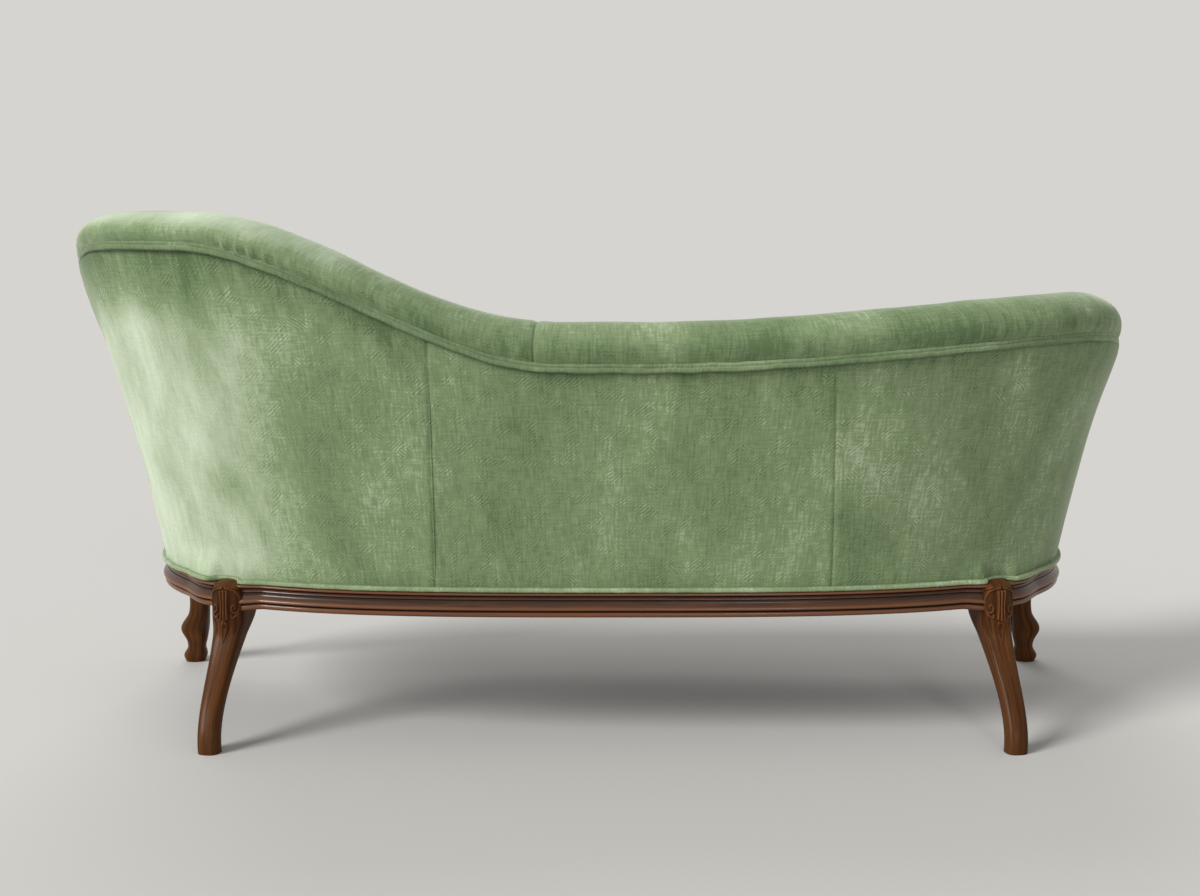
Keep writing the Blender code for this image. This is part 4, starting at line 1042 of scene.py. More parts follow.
@dataclass(frozen=True)
class RolledBack:
    """The roll and the inside of the back and arms: velvet over stuffing, in two lengths with one seam."""

    tub: TubBack
    velvet: Finish
    seam: float = 0.113
    seam_depth: float = 0.0026
    seam_width: float = 0.0035
    column: float = 0.0045
    rows: int = 170
    gather_from: float = 0.425
    gather_to: float = 0.540
    gather_depth: float = 0.0030
    gather_spacing: float = 0.0185
    crease_run: float = -0.708
    # Painted light on the top of the roll: where it starts towards the raised end, over what run it grows,
    # and how strong it is
    pale_from: float = 0.22
    pale_run: float = 0.36
    pale: float = 1.5

    def build(self) -> None:
        """Make both lengths."""
        end = self.tub.end_run
        for name, start, stop, nodes in (
                ("low", -end, self.seam, ["inside_cover_low", "arm_stuffing_low", "back_stuffing"]),
                ("high", self.seam, end, ["inside_cover_high", "arm_stuffing_high", "back_stuffing"])):
            columns = math.ceil((stop - start) / self.column)
            piece = model("rolled_back_" + name, columns, self.rows, partial(self.length, start, stop))
            fit(piece, self.velvet, nodes)

    def length(self, start: float, stop: float, along: Array, round_: Array) -> Skin:
        """One length's skin: over the piping, round the roll, down the inside and back up the frame.

        Args:
            start: Run at its low end.
            stop: Run at its high end.
            along: Share of the way to the high end.
            round_: Share of the way round it.

        Returns:
            The skin.
        """
        tub = self.tub
        # Shares of the way round at which the lip, the roll and the inside end
        lip_end, roll_end, inside_end = 0.04, 0.40, 0.90
        # Share of the way back up at which the frame ends and the cover turns over to the lip
        frame_end = 0.8
        run = start + (stop - start) * along
        rim = tub.rim(run)
        wall = tub.lean(rim)
        rise = tub.rise(run)
        lip = (tub.lip - tub.facing_gap) * tub.rim_stretch(run) + tub.facing_gap
        half_width = tub.roll_width / 2
        centre = wall + tub.roll_overhang * tub.standing(run) - half_width
        middle = rim + tub.roll_centre_share * rise
        half_height = rise * (1.0 - tub.roll_centre_share)
        first = np.arcsin(np.clip((lip - tub.roll_centre_share * rise) / half_height, -0.95, 0.95))
        turn = part(round_, lip_end, roll_end)
        angle = first + (math.pi - first) * turn
        puff = self.roll_surface(run, turn)
        out = centre + (half_width + puff) * np.cos(angle)
        height = middle + (half_height + puff) * np.sin(angle)
        tuck = part(round_, 0.0, lip_end)
        on_lip = round_ < lip_end
        out = np.where(on_lip, wall - tub.lip_tuck + (out - wall + tub.lip_tuck) * tuck, out)
        height = np.where(on_lip, rim + lip + (height - rim - lip) * tuck, height)
        down = part(round_, roll_end, inside_end)
        inside_out = centre - half_width + (half_width - tub.inside_line - centre) * down
        inside_out -= tub.inside_swell(down)
        inside_out -= self.inside_surface(run, down)
        inside_height = middle + (tub.seat_deck - middle) * down
        on_inside = round_ > roll_end
        out = np.where(on_inside, inside_out, out)
        height = np.where(on_inside, inside_height, height)
        back = part(round_, inside_end, 1.0)
        top = rim + 0.0045
        back_height = tub.seat_deck + (top - tub.seat_deck) * part(back, 0.0, frame_end)
        back_out = tub.lean(back_height) - tub.frame_inset
        over = part(back, frame_end, 1.0)
        back_out = back_out + (wall - tub.lip_tuck - back_out) * over
        back_height = back_height + (rim + lip - back_height) * over**3
        on_back = round_ > inside_end
        out = np.where(on_back, back_out, out)
        height = np.where(on_back, back_height, height)
        away = np.abs(run - self.seam)
        pinch = hump(away, 0.0, self.seam_width) * ~on_back * ~on_lip
        out -= self.seam_depth * pinch * np.where(on_inside, -1.0, np.cos(angle))
        height -= self.seam_depth * pinch * np.where(on_inside, 0.0, np.sin(angle))
        # Painted shade in the seam's groove and in the crevice over the piping
        relief = 1.0 - 0.6 * hump(away, 0.0, 0.6 * self.seam_width)
        relief -= 0.05 * hump(turn, 0.0, 0.05) * (1.0 - on_inside)
        girth = np.where(on_inside, 0.17 + 0.40 * down, 0.17 * turn)
        cloth = np.column_stack((run, girth + 2.0))
        # Painted light on the top of the roll, stronger towards the raised end, and painted shade on its
        # lower side above the piping, in ragged streaks
        raised = smooth((run - self.pale_from) / self.pale_run)
        dark = (0.85 - 0.35 * raised) * hump(turn, 0.12, 0.16)
        nap_and_light = self.pale * raised * hump(turn, 0.45, 0.30)
        nap_and_light = nap_and_light - dark * (1.0 + 0.5 * uneven(run, turn * 0.1, 0.040, 19.5))
        nap_and_light = np.where(on_inside, 0.0, nap_and_light)
        return Skin(tub.place(run, out, height), cloth, np.clip(relief, 0, 1), nap_and_light)

    def roll_surface(self, run: Array, turn: Array) -> Array:
        """Unevenness of the roll: stuffing lumps, gathers above the piping and creases at the low end.

        Args:
            run: Runs along the back.
            turn: Share of the way over the roll, from the piping to the inside.

        Returns:
            How far the surface stands out from the plain roll.
        """
        puff = 0.0014 * uneven(run, turn * 0.17, 0.060, 3.5)
        window = smooth((run - self.gather_from) / 0.02) * smooth((self.gather_to - run) / 0.02)
        warped = run + 0.003 * uneven(run, turn * 0.05, 0.020, 6.5)
        folds = np.cos(2.0 * math.pi * warped / self.gather_spacing)
        puff += self.gather_depth * window * folds * hump(turn, 0.08, 0.09)
        puff += 0.0010 * uneven(run, turn * 0.03, 0.015, 8.5) * hump(turn, 0.05, 0.09)
        for offset, slant, depth in ((0.0, 0.030, 0.0026), (0.022, 0.018, 0.0016)):
            crease = hump(run + slant * (turn - 0.3), self.crease_run - offset, 0.0075)
            puff -= depth * crease * hump(turn, 0.26, 0.15)
        return puff

    @staticmethod
    def inside_surface(run: Array, down: Array) -> Array:
        """Unevenness of the inside: soft swellings and slight pulls towards the seat."""
        swell = 0.0025 * uneven(run, down * 0.4, 0.150, 9.5) * np.sin(math.pi * down)
        return swell + 0.0012 * uneven(run, down * 0.06, 0.022, 10.5) * np.exp(-(1.0 - down) / 0.08)


@dataclass(frozen=True)
class ArmFacing:
    """The padded panel with a corded edge that closes the front of an arm."""

    tub: TubBack
    velvet: Finish
    end: End
    thickness: float = 0.014
    cord: float = 0.0045
    padding: float = 0.007
    columns: int = 150
    rows: int = 44

    def build(self) -> None:
        """Make the panel."""
        piece = model("arm_facing_" + self.end.tag, self.columns, self.rows, self.shape)
        fit(piece, self.velvet, ["arm_front_" + self.end.tag])

    def outline(self, along: Array) -> tuple[Array, Array, Array, Array]:
        """The panel's edge and the line up its middle.

        Args:
            along: Share of the way round the edge, up the outside, over the roll and down the inside.

        Returns:
            Distance out and height of the edge, then of the middle line.
        """
        tub = self.tub
        run = np.array([self.end.value * tub.end_run])
        rim = float(tub.rim(run)[0])
        rise = float(tub.rise(run)[0])
        wall = float(tub.lean(np.array(rim)))
        half_width = tub.roll_width / 2
        centre = wall + tub.roll_overhang * float(tub.standing(run)[0]) - half_width
        middle = rim + tub.roll_centre_share * rise
        half_height = rise * (1.0 - tub.roll_centre_share)
        foot = tub.seat_deck - tub.facing_foot
        # The outside and the inside have as many columns as each other, so they meet along the middle line
        up_end, over_end = 0.30, 0.70
        up = part(along, 0.0, up_end)
        height = foot + (middle - foot) * up
        out = tub.wall(run, np.minimum(height, rim))
        out = out + (centre + half_width - float(tub.wall(run, np.array(rim))[0])) * smooth((up - 0.6) / 0.4)
        turn = part(along, up_end, over_end) * math.pi
        out = np.where(along > up_end, centre + half_width * np.cos(turn), out)
        height = np.where(along > up_end, middle + half_height * np.sin(turn), height)
        down = part(along, over_end, 1.0)
        inside = centre - half_width + (half_width - tub.inside_line - centre) * down
        inside = inside - tub.inside_swell(down)
        out = np.where(along > over_end, inside, out)
        height = np.where(along > over_end, middle + (foot - middle) * down, height)
        level = np.minimum(height, middle)
        upward = smooth((level - foot) / (middle - foot))
        spine = -0.5 * tub.inside_line + (centre + 0.5 * tub.inside_line) * upward
        return out, height, spine, level

    def shape(self, along: Array, round_: Array) -> Skin:
        """The panel's skin, from its back edge over the cord to the middle line.

        Args:
            along: Share of the way round the edge.
            round_: Share of the way in from the edge.

        Returns:
            The skin.
        """
        tub = self.tub
        out, height, spine, level = self.outline(along)
        reach = np.hypot(spine - out, level - height) + 1e-6
        side_end, cord_end = 0.10, 0.34
        over = part(round_, side_end, cord_end) * math.pi
        inwards = self.cord * (1.0 - np.cos(over))
        face = part(round_, cord_end, 1.0)
        inwards = np.where(round_ > cord_end, 2 * self.cord + (reach - 2 * self.cord) * face, inwards)
        side = part(round_, 0.0, side_end)
        depth = np.where(round_ < side_end, (self.thickness - self.cord) * side,
                         self.thickness - self.cord + self.cord * np.sin(over))
        pad = (self.thickness - self.cord) + self.padding * np.sin(0.5 * math.pi * smooth(face * 1.6))
        depth = np.where(round_ > cord_end, pad, depth)
        share = np.minimum(inwards / reach, 1.0)
        out = out + (spine - out) * share
        height = height + (level - height) * share
        run = np.full(along.shape, self.end.value * tub.end_run)
        places = tub.place(run, out, height)
        places[:, 1] -= tub.facing_gap + depth
        # Painted shade in the groove where the cord meets the padded face
        relief = 1.0 - 0.6 * hump(round_, cord_end, 0.03)
        return Skin(places, np.column_stack((out + 5.0, height)), relief)


@dataclass(frozen=True)
class Trim:
    """Velvet-covered cords: the flat piping under the roll and the gimp along the show-wood."""

    tub: TubBack
    velvet: Finish
    edging: Finish
    piping_height: float = 0.0076
    piping_depth: float = 0.0044
    piping_out: float = 0.0044
    gimp_height: float = 0.0042
    gimp_depth: float = 0.0040
    gimp_out: float = 0.0042
    gimp_level: float = 0.0044
    gimp_lift: float = 0.0012
    column: float = 0.0035
    rows: int = 44
    squareness: float = 2.6
    groove: float = 0.0011
    groove_place: float = 0.22
    groove_width: float = 0.17

    def build(self) -> None:
        """Make the piping and both lengths of gimp."""
        tub = self.tub
        end = tub.end_run - self.piping_depth
        for name, length, shape, finish, node in (
                ("piping_under_roll", 2 * end, partial(self.piping, end), self.velvet, "top_piping"),
                ("gimp_round_back", 2 * tub.end_run, self.gimp, self.edging, "base_gimp"),
                ("gimp_along_front", 2 * tub.half_length, self.front_gimp, self.edging, "front_gimp")):
            piece = model(name, math.ceil(length / self.column), self.rows, shape)
            fit(piece, finish, [node])

    def piping(self, end: float, along: Array, turn: Array) -> Skin:
        """The piping's skin.

        Args:
            end: Run at which it ends on either arm.
            along: Share of the way to the high end.
            turn: Share of the way round it.

        Returns:
            The skin.
        """
        tub = self.tub
        run = end * (2.0 * along - 1.0)
        rim = tub.rim(run)
        out, up = self.section(turn, self.piping_depth, self.piping_height)
        # The line of stitches that makes it look like two cords side by side
        groove = hump(up / self.piping_height, self.groove_place, self.groove_width) * (out > 0.0)
        out = out - self.groove * groove
        wrinkle = 1.0 + 0.09 * uneven(run, up, 0.011, 11.5) + 0.08 * uneven(run, up * 0.0, 0.045, 12.5)
        sag = 0.0012 * uneven(run, up * 0.0, 0.030, 13.5)
        out = tub.lean(rim) + self.piping_out * tub.standing(run) + out * wrinkle
        height = rim + sag + up * wrinkle * tub.rim_stretch(run)
        # Painted shade on the piping's underside and in its line of stitches
        relief = 1.0 - 0.75 * hump(np.sin(2.0 * math.pi * turn), -1.0, 0.35) - 0.50 * groove
        return Skin(tub.place(run, out, height), np.column_stack((run, 0.024 * turn + 4.0)), relief)

    def gimp(self, along: Array, turn: Array) -> Skin:
        """The skin of the gimp round the back and arms.

        Args:
            along: Share of the way to the high end.
            turn: Share of the way round it.

        Returns:
            The skin.
        """
        tub = self.tub
        run = (tub.end_run + tub.facing) * (2.0 * along - 1.0)
        out, up = self.section(turn, self.gimp_depth, self.gimp_height)
        wrinkle = 1.0 + 0.10 * uneven(run, up, 0.009, 14.5)
        out = self.gimp_out + tub.foot_reach(run) + out * wrinkle
        lifted = self.gimp_lift * hump(tub.from_leg(run), 0.0, tub.cap_half)
        height = tub.ledge + self.gimp_level + lifted + up * wrinkle
        # Painted shade on the gimp's top, in the valley against the cover
        relief = 1.0 - 0.5 * hump(np.sin(2.0 * math.pi * turn), 1.0, 0.4)
        return Skin(tub.place(run, out, height), np.column_stack((run, 0.016 * turn + 6.0)), relief)

    def front_gimp(self, along: Array, turn: Array) -> Skin:
        """The skin of the gimp along the front.

        Args:
            along: Share of the way to the high end.
            turn: Share of the way round it.

        Returns:
            The skin.
        """
        tub = self.tub
        across = tub.half_length * (2.0 * along - 1.0)
        out, up = self.section(turn, self.gimp_depth, self.gimp_height)
        wrinkle = 1.0 + 0.10 * uneven(across, up, 0.009, 15.5)
        back = tub.front_line(across) - self.gimp_out - out * wrinkle
        height = tub.ledge + self.gimp_level + up * wrinkle
        # Painted shade on the gimp's top, in the valley against the seat
        relief = 1.0 - 0.5 * hump(np.sin(2.0 * math.pi * turn), 1.0, 0.4)
        places = np.column_stack((across + tub.shift[0], back, height))
        return Skin(places, np.column_stack((across, 0.016 * turn + 7.0)), relief)

    def section(self, turn: Array, depth: float, height: float) -> tuple[Array, Array]:
        """A cord's flattened section.

        Args:
            turn: Share of the way round it.
            depth: Half its depth.
            height: Half its height.

        Returns:
            Distance out and up from its middle.
        """
        angle = 2.0 * math.pi * turn
        out = np.cos(angle)
        up = np.sin(angle)
        scale = (np.abs(out) ** self.squareness + np.abs(up) ** self.squareness) ** (-1.0 / self.squareness)
        return depth * out * scale, height * up * scale


# Show-wood

# Relief of wood that is neither a hollow nor a crest
PLAIN_RELIEF = 0.6


@dataclass(frozen=True)
class SeatRails:
    """The moulded rails: bead, fillet, ogee, groove and bottom bead under a tacking edge."""

    tub: TubBack
    walnut: Finish
    depth: float = 0.045
    front_depth: float = 0.0435
    bead: float = 0.005
    fillet: float = 0.0085
    setback: float = 0.0012
    quirk: float = 0.0030
    ogee: float = 0.016
    ogee_reach: float = 0.0068
    groove: float = 0.0018
    bottom_bead: float = 0.0089
    bead_reach: float = 0.003
    column: float = 0.005
    rows: int = 150
    moulding_weight: float = 9.0
    leg_entry: float = 0.020
    front_entry: float = 0.004
    front_inner: float = 0.767
    dip: float = 0.0050
    dip_run: float = 0.042

    def build(self) -> None:
        """Make the back, side and front rails."""
        tub = self.tub
        inner = tub.leg_run - tub.block_width / 2 + self.leg_entry
        outer = tub.leg_run + tub.block_width / 2 - self.leg_entry
        last = tub.curve_run + self.front_entry
        for name, start, stop in (("back_rail", -inner, inner), ("side_rail_high", outer, last),
                                  ("side_rail_low", -last, -outer)):
            piece = model("moulded_" + name, math.ceil((stop - start) / self.column), self.rows,
                          partial(self.rail, start, stop))
            fit(piece, self.walnut, [name])
        end = self.front_inner + self.front_entry
        columns = math.ceil(2 * end / self.column)
        piece = model("moulded_front_rail", columns, self.rows, partial(self.front, end))
        fit(piece, self.walnut, ["front_rail"])

    def front(self, end: float, along: Array, round_: Array) -> Skin:
        """The front rail's skin.

        Args:
            end: How far it reaches to either side of the middle.
            along: Share of the way to the high end.
            round_: Share of the way round it.

        Returns:
            The skin.
        """
        tub = self.tub
        across = end * (2.0 * along - 1.0)
        out, height, girth, relief, shown = self.section(round_, self.front_depth)
        out = np.where(shown, out + tub.wood_reach, out)
        places = np.column_stack((across + tub.shift[0], tub.front_line(across) - out, height))
        return Skin(places, np.column_stack((across + 9.0, girth)), relief)

    def rail(self, start: float, stop: float, along: Array, round_: Array) -> Skin:
        """The skin of a rail along the base line, swept out beside the rear legs.

        Args:
            start: Run at its low end.
            stop: Run at its high end.
            along: Share of the way to the high end.
            round_: Share of the way round it.

        Returns:
            The skin.
        """
        tub = self.tub
        run = start + (stop - start) * along
        out, height, girth, relief, shown = self.section(round_, self.depth)
        out = np.where(shown, out + tub.wood_out(run), out)
        down = part(height, tub.ledge, tub.rail_bottom)
        height = height - self.dipped(run) * down
        return Skin(tub.place(run, out, height), np.column_stack((run, girth)), relief)

    def dipped(self, run: Array) -> Array:
        """How far the foot of the back rail dips towards the carved knees.

        Args:
            run: Runs along the line.

        Returns:
            The dip at each run.
        """
        tub = self.tub
        beside = 1.0 - smooth((tub.from_leg(run) - tub.block_width / 2) / self.dip_run)
        return self.dip * np.where(np.abs(run) < tub.leg_run, beside, 0.0)

    def section(self, round_: Array, depth: float) -> tuple[Array, Array, Array, Array, Array]:
        """The rail's section.

        Args:
            round_: Share of the way round it, most of which goes to the moulding.
            depth: Thickness of the rail behind the moulding.

        Returns:
            Distance out, height, distance round, relief, and whether a place lies on the moulding, where the
            distance out counts from the rail's reach.
        """
        tub = self.tub
        level = tub.ledge
        # Distance out, height and relief of each point of the moulding, from its top down
        members = self.round_over(level, self.bead, self.bead_reach)
        level -= self.bead
        members += [(-self.quirk, level - 0.0012, 0.0), (-self.setback, level - 0.0022, 0.35)]
        for share in np.linspace(0.0, 1.0, 6):
            hollow = 0.0010 * math.sin(math.pi * share)
            members.append((-self.setback - hollow, level - 0.0024 - 0.0040 * share, 0.55))
        level -= self.fillet
        members += [(-self.quirk, level + 0.0008, 0.0), (-self.quirk, level, 0.0)]
        # The ogee's relief runs from its set-back top, darkened as painted shade, to its swell, lightened by
        # a painted highlight on rubbed polish
        for share in np.linspace(0.0, 1.0, 25):
            rounded = math.sqrt(max(1.0 - max(share - 0.82, 0.0) ** 2 / 0.036, 0.0))
            swell = float(smooth((share - 0.10) / 0.72) * rounded)
            reach = self.ogee_reach * swell - self.setback
            members.append((reach, level - self.ogee * share, 0.25 + 0.75 * swell))
        level -= self.ogee
        members += [(-0.0022, level - 0.0004, 0.0), (-0.0022, level - self.groove + 0.0004, 0.0)]
        level -= self.groove
        members += self.round_over(level, self.bottom_bead, self.bead_reach)
        moulding = len(members)
        corners = [(-depth, tub.rail_bottom), (-depth, tub.rail_top), (-tub.rebate, tub.rail_top),
                   (-tub.rebate, tub.ledge)]
        line = np.array(members + [(*corner, 0.5) for corner in corners] + [members[0]])
        steps = np.hypot(np.diff(line[:, 0]), np.diff(line[:, 1]))
        girth = np.concatenate(([0.0], np.cumsum(steps)))
        weights = steps * np.where(np.arange(len(steps)) < moulding - 1, self.moulding_weight, 1.0)
        weights[moulding - 1] = weights[-1] = weights[:moulding - 1].max()
        share = np.concatenate(([0.0], np.cumsum(weights)))
        share /= share[-1]
        shown = (round_ <= share[moulding - 1] + 1e-6) | (round_ > 1.0 - 1e-6)
        return (np.interp(round_, share, line[:, 0]), np.interp(round_, share, line[:, 1]),
                np.interp(round_, share, girth), np.interp(round_, share, line[:, 2]), shown)

    @staticmethod
    def round_over(level: float, height: float, reach: float) -> list[tuple[float, float, float]]:
        """A rounded member of the moulding.

        Args:
            level: Height of its top edge.
            height: How tall it is.
            reach: How far it stands out.

        Returns:
            Distance out, height and relief of its points, from the top down.
        """
        member = []
        # Each bead's crest takes the lighter crest tint: a painted highlight on rubbed polish
        for bend in np.linspace(0.0, math.pi, 17):
            swell = math.sin(bend)
            member.append((reach * swell, level - height * (1.0 - math.cos(bend)) / 2, 0.5 + 0.5 * swell))
        return member


@dataclass(frozen=True)
class KneeCarving:
    """Carving on the knee of a leg, in millimetres across from its middle and down from its crest.

    A moulded crest arches over a ribbed tongue between two C-scrolls. Each scroll sweeps out from the crest,
    down the edge of the knee and winds up in a volute. A curl leads on from it to the tongue, and a husk
    hangs below.
    """

    tongue_top: float = 12.0
    tongue_end: float = 67.0
    tongue_half: float = 8.8
    tongue_waist: float = 1.8
    tongue_rise: float = 4.0
    ground: float = 1.6
    boldness: float = 1.4

    def surface(self, across: Array, down: Array) -> tuple[Array, Array]:
        """Height of the carving.

        Args:
            across: Millimetres from the middle of the knee.
            down: Millimetres below the top of its crest.

        Returns:
            How far it stands out, in millimetres, and its relief from 0 in the hollows to 1 on the crests.
        """
        side = np.abs(across)
        field = smooth((down - 9.0) / 3.0) * smooth((64.0 - down) / 8.0) * smooth((27.0 - side) / 3.0)
        rise = -self.ground * field
        scroll = ((3.0, 9.5), (10.0, 10.5), (17.0, 13.5), (22.3, 20.0), (24.8, 29.0), (25.2, 38.5),
                  (23.4, 47.5), (19.0, 52.6), (14.2, 50.0), (12.6, 43.8), (15.2, 39.2), (18.6, 41.2),
                  (18.2, 45.6))
        curl = ((22.0, 54.0), (17.5, 59.5), (13.0, 60.5), (11.6, 56.5))
        margin = ((23.0, 52.0), (20.8, 62.0), (17.0, 75.0), (15.0, 88.0))
        husk = ((2.4, 69.5), (4.4, 76.0), (3.4, 88.0), (0.7, 103.0))
        bud = ((0.0, 69.0), (0.0, 78.0))
        members = [self.crest(side, down), self.tongue(across, down)]
        # Half widths of each member at its start and its end
        for path, first, last in ((scroll, 2.3, 1.7), (curl, 2.4, 2.0), (margin, 2.0, 0.7), (husk, 2.4, 0.8),
                                  (bud, 1.8, 0.8)):
            members.append(self.rope(side, down, path, first, last))
        for member in members:
            rise = np.maximum(rise, self.boldness * member)
        carved = np.clip(field + (rise > 0.05), 0.0, 1.0)
        # Raised carving takes the lighter crest tint, a painted highlight on rubbed polish, and the sunk
        # ground the darker tint of the hollows
        relief = PLAIN_RELIEF + carved * (np.clip((rise + self.ground) / 5.2, 0.0, 1.0) - PLAIN_RELIEF)
        # The crest is polished less often than the carving, and takes no painted highlight, so it stays dark
        relief = np.where(down < 6.5, np.minimum(relief, 0.50), relief)
        return rise, relief

    @staticmethod
    def crest(side: Array, down: Array) -> Array:
        """Two beads that arch over the knee.

        Args:
            side: Millimetres from the middle, on either side.
            down: Millimetres below the top of the crest.

        Returns:
            How far they stand out.
        """
        upper = 2.4 * np.sqrt(np.clip(1.0 - ((down - 2.6) / 2.5) ** 2, 0.0, 1.0))
        arch = 7.0 + 1.6 * (side / 24.0) ** 2
        lower = 1.5 * np.sqrt(np.clip(1.0 - ((down - arch) / 1.5) ** 2, 0.0, 1.0))
        return np.maximum(upper, lower) * smooth((26.0 - side) / 3.0)

    def tongue(self, across: Array, down: Array) -> Array:
        """The ribbed tongue in the middle, drawn in at its waist and rounded at its end.

        Args:
            across: Millimetres from the middle of the knee.
            down: Millimetres below the top of the crest.

        Returns:
            How far it stands out.
        """
        share = part(down, self.tongue_top, self.tongue_end)
        half = self.tongue_half - self.tongue_waist * np.sin(math.pi * share) ** 2
        spot = np.clip(across / half, -1.2, 1.2)
        body = np.sqrt(np.clip(1.0 - spot**4, 0.0, 1.0))
        ribs = 0.66 + 0.34 * np.cos(3.0 * math.pi * spot)
        end = self.tongue_end - 4.5 * spot**2
        ends = smooth((down - self.tongue_top) / 2.5) * smooth((end - down) / 1.6)
        swell = 0.85 + 0.30 * smooth((share - 0.55) / 0.4)
        return self.tongue_rise * body * ribs * ends * swell

    @staticmethod
    def rope(side: Array, down: Array, path: Path, first: float, last: float) -> Array:
        """A round member that follows a path and changes its thickness on the way.

        Args:
            side: Millimetres from the middle, on either side.
            down: Millimetres below the crest.
            path: Points that it follows.
            first: Its half width at the start.
            last: Its half width at the end.

        Returns:
            How far it stands out.
        """
        spots = np.linspace(0.0, 1.0, 24 * len(path))
        knots = np.linspace(0.0, 1.0, len(path))
        line_side = curve_through(spots, list(knots), [point[0] for point in path])
        line_down = curve_through(spots, list(knots), [point[1] for point in path])
        half = first + (last - first) * spots
        rise = np.zeros(side.shape)
        for along, below, width in zip(line_side, line_down, half):
            away = ((side - along) ** 2 + (down - below) ** 2) / width**2
            rise = np.maximum(rise, 0.95 * width * np.sqrt(np.clip(1.0 - away, 0.0, 1.0)))
        return rise


def shown_below(height: Array, top: float) -> Array:
    """1 up to a leg's crest and 0 from just above it."""
    return smooth((top + 0.0007 - height) / 0.0005)


@dataclass(frozen=True)
class LegRow:
    """One level of a leg: its middle in plan, its width and depth, and how square it is."""

    across: Array
    outward: Array
    width: Array
    depth: Array
    squareness: Array


@dataclass(frozen=True)
class Leg:
    """A carved leg: the head behind the cover, the knee with its carving, and the shank down to the foot."""

    tub: TubBack
    walnut: Finish
    carving: KneeCarving
    end: End
    kind: str = ""
    foot_width: float = 0.036
    crest: float = 0.0
    arch: float = 0.0
    block_square: float = 6.0
    belly: float = 0.0
    shank_square: float = 2.6
    columns: int = 230
    rows: int = 260
    carved_from: float = 0.158
    belly_ease: float = 0.045
    # Share of the half depth from which the face of the knee counts, and the share over which it fades in
    front_from: float = 0.62
    front_ease: float = 0.2
    # Height over which the leg steps in above the show-wood
    step: float = 0.0012

    @property
    def crest_top(self) -> float:
        """Height of the top of the crest."""
        return self.tub.ledge + self.crest

    @property
    def node(self) -> str:
        """Name of the CAD node that the leg stands for."""
        return f"{self.kind}_leg_{self.end.tag}"

    def axes(self) -> tuple[Vector, Vector, Vector]:
        """The knee's middle in plan and the directions across the knee and outwards from it."""
        raise NotImplementedError

    def row(self, height: Array) -> LegRow:
        """The leg's levels at given heights."""
        raise NotImplementedError

    def build(self) -> None:
        """Make the leg."""
        leg = model("carved_" + self.node, self.columns, self.rows, self.shape, sharp=60.0)
        fit(leg, self.walnut, [self.node])

    def levels(self, share: Array) -> Array:
        """Heights of the rows, closest together where the knee is carved."""
        heights = [0.0, self.carved_from, self.crest_top, self.crest_top + 0.001, self.tub.rail_top]
        return np.interp(share, [0.0, 0.26, 0.93, 0.96, 1.0], heights)

    def shape(self, along: Array, turn: Array) -> Skin:
        """The leg's skin.

        Args:
            along: Share of the way up the leg.
            turn: Share of the way round it.

        Returns:
            The skin, with the grain up the leg.
        """
        middle, across_way, out_way = self.axes()
        height = self.levels(along)
        level = self.row(height)
        around = 2.0 * math.pi * turn
        around = around + 0.5 * np.cos(around)
        first = np.cos(around)
        second = np.sin(around)
        power = level.squareness
        scale = (np.abs(first) ** power + np.abs(second) ** power) ** (-1.0 / power)
        across = level.width / 2 * first * scale
        outward = level.depth / 2 * second * scale
        in_front = smooth((second * scale - self.front_from) / self.front_ease)
        rise, relief = self.carving.surface(across * 1000.0, (self.crest_top - height) * 1000.0)
        below_crest = shown_below(height, self.crest_top)
        shown = in_front * below_crest
        knee = smooth((height - self.carved_from) / self.belly_ease)
        rounded = 1.0 - (2.0 * across / level.width) ** 2
        outward = outward + (0.001 * rise + self.belly * (rounded - 1.0) * knee) * shown
        relief = PLAIN_RELIEF + (relief - PLAIN_RELIEF) * shown
        near_crest = smooth((height - self.tub.ledge + 0.010) / 0.012) * below_crest
        height = height - self.arch * (2.0 * across / level.width) ** 2 * near_crest
        across = level.across + across
        outward = level.outward + outward
        places = np.column_stack((middle.x + across_way.x * across + out_way.x * outward,
                                  middle.y + across_way.y * across + out_way.y * outward, height))
        cloth = np.column_stack((height + 3.0 * self.end.value, 0.03 * around))
        return Skin(places, cloth, relief)


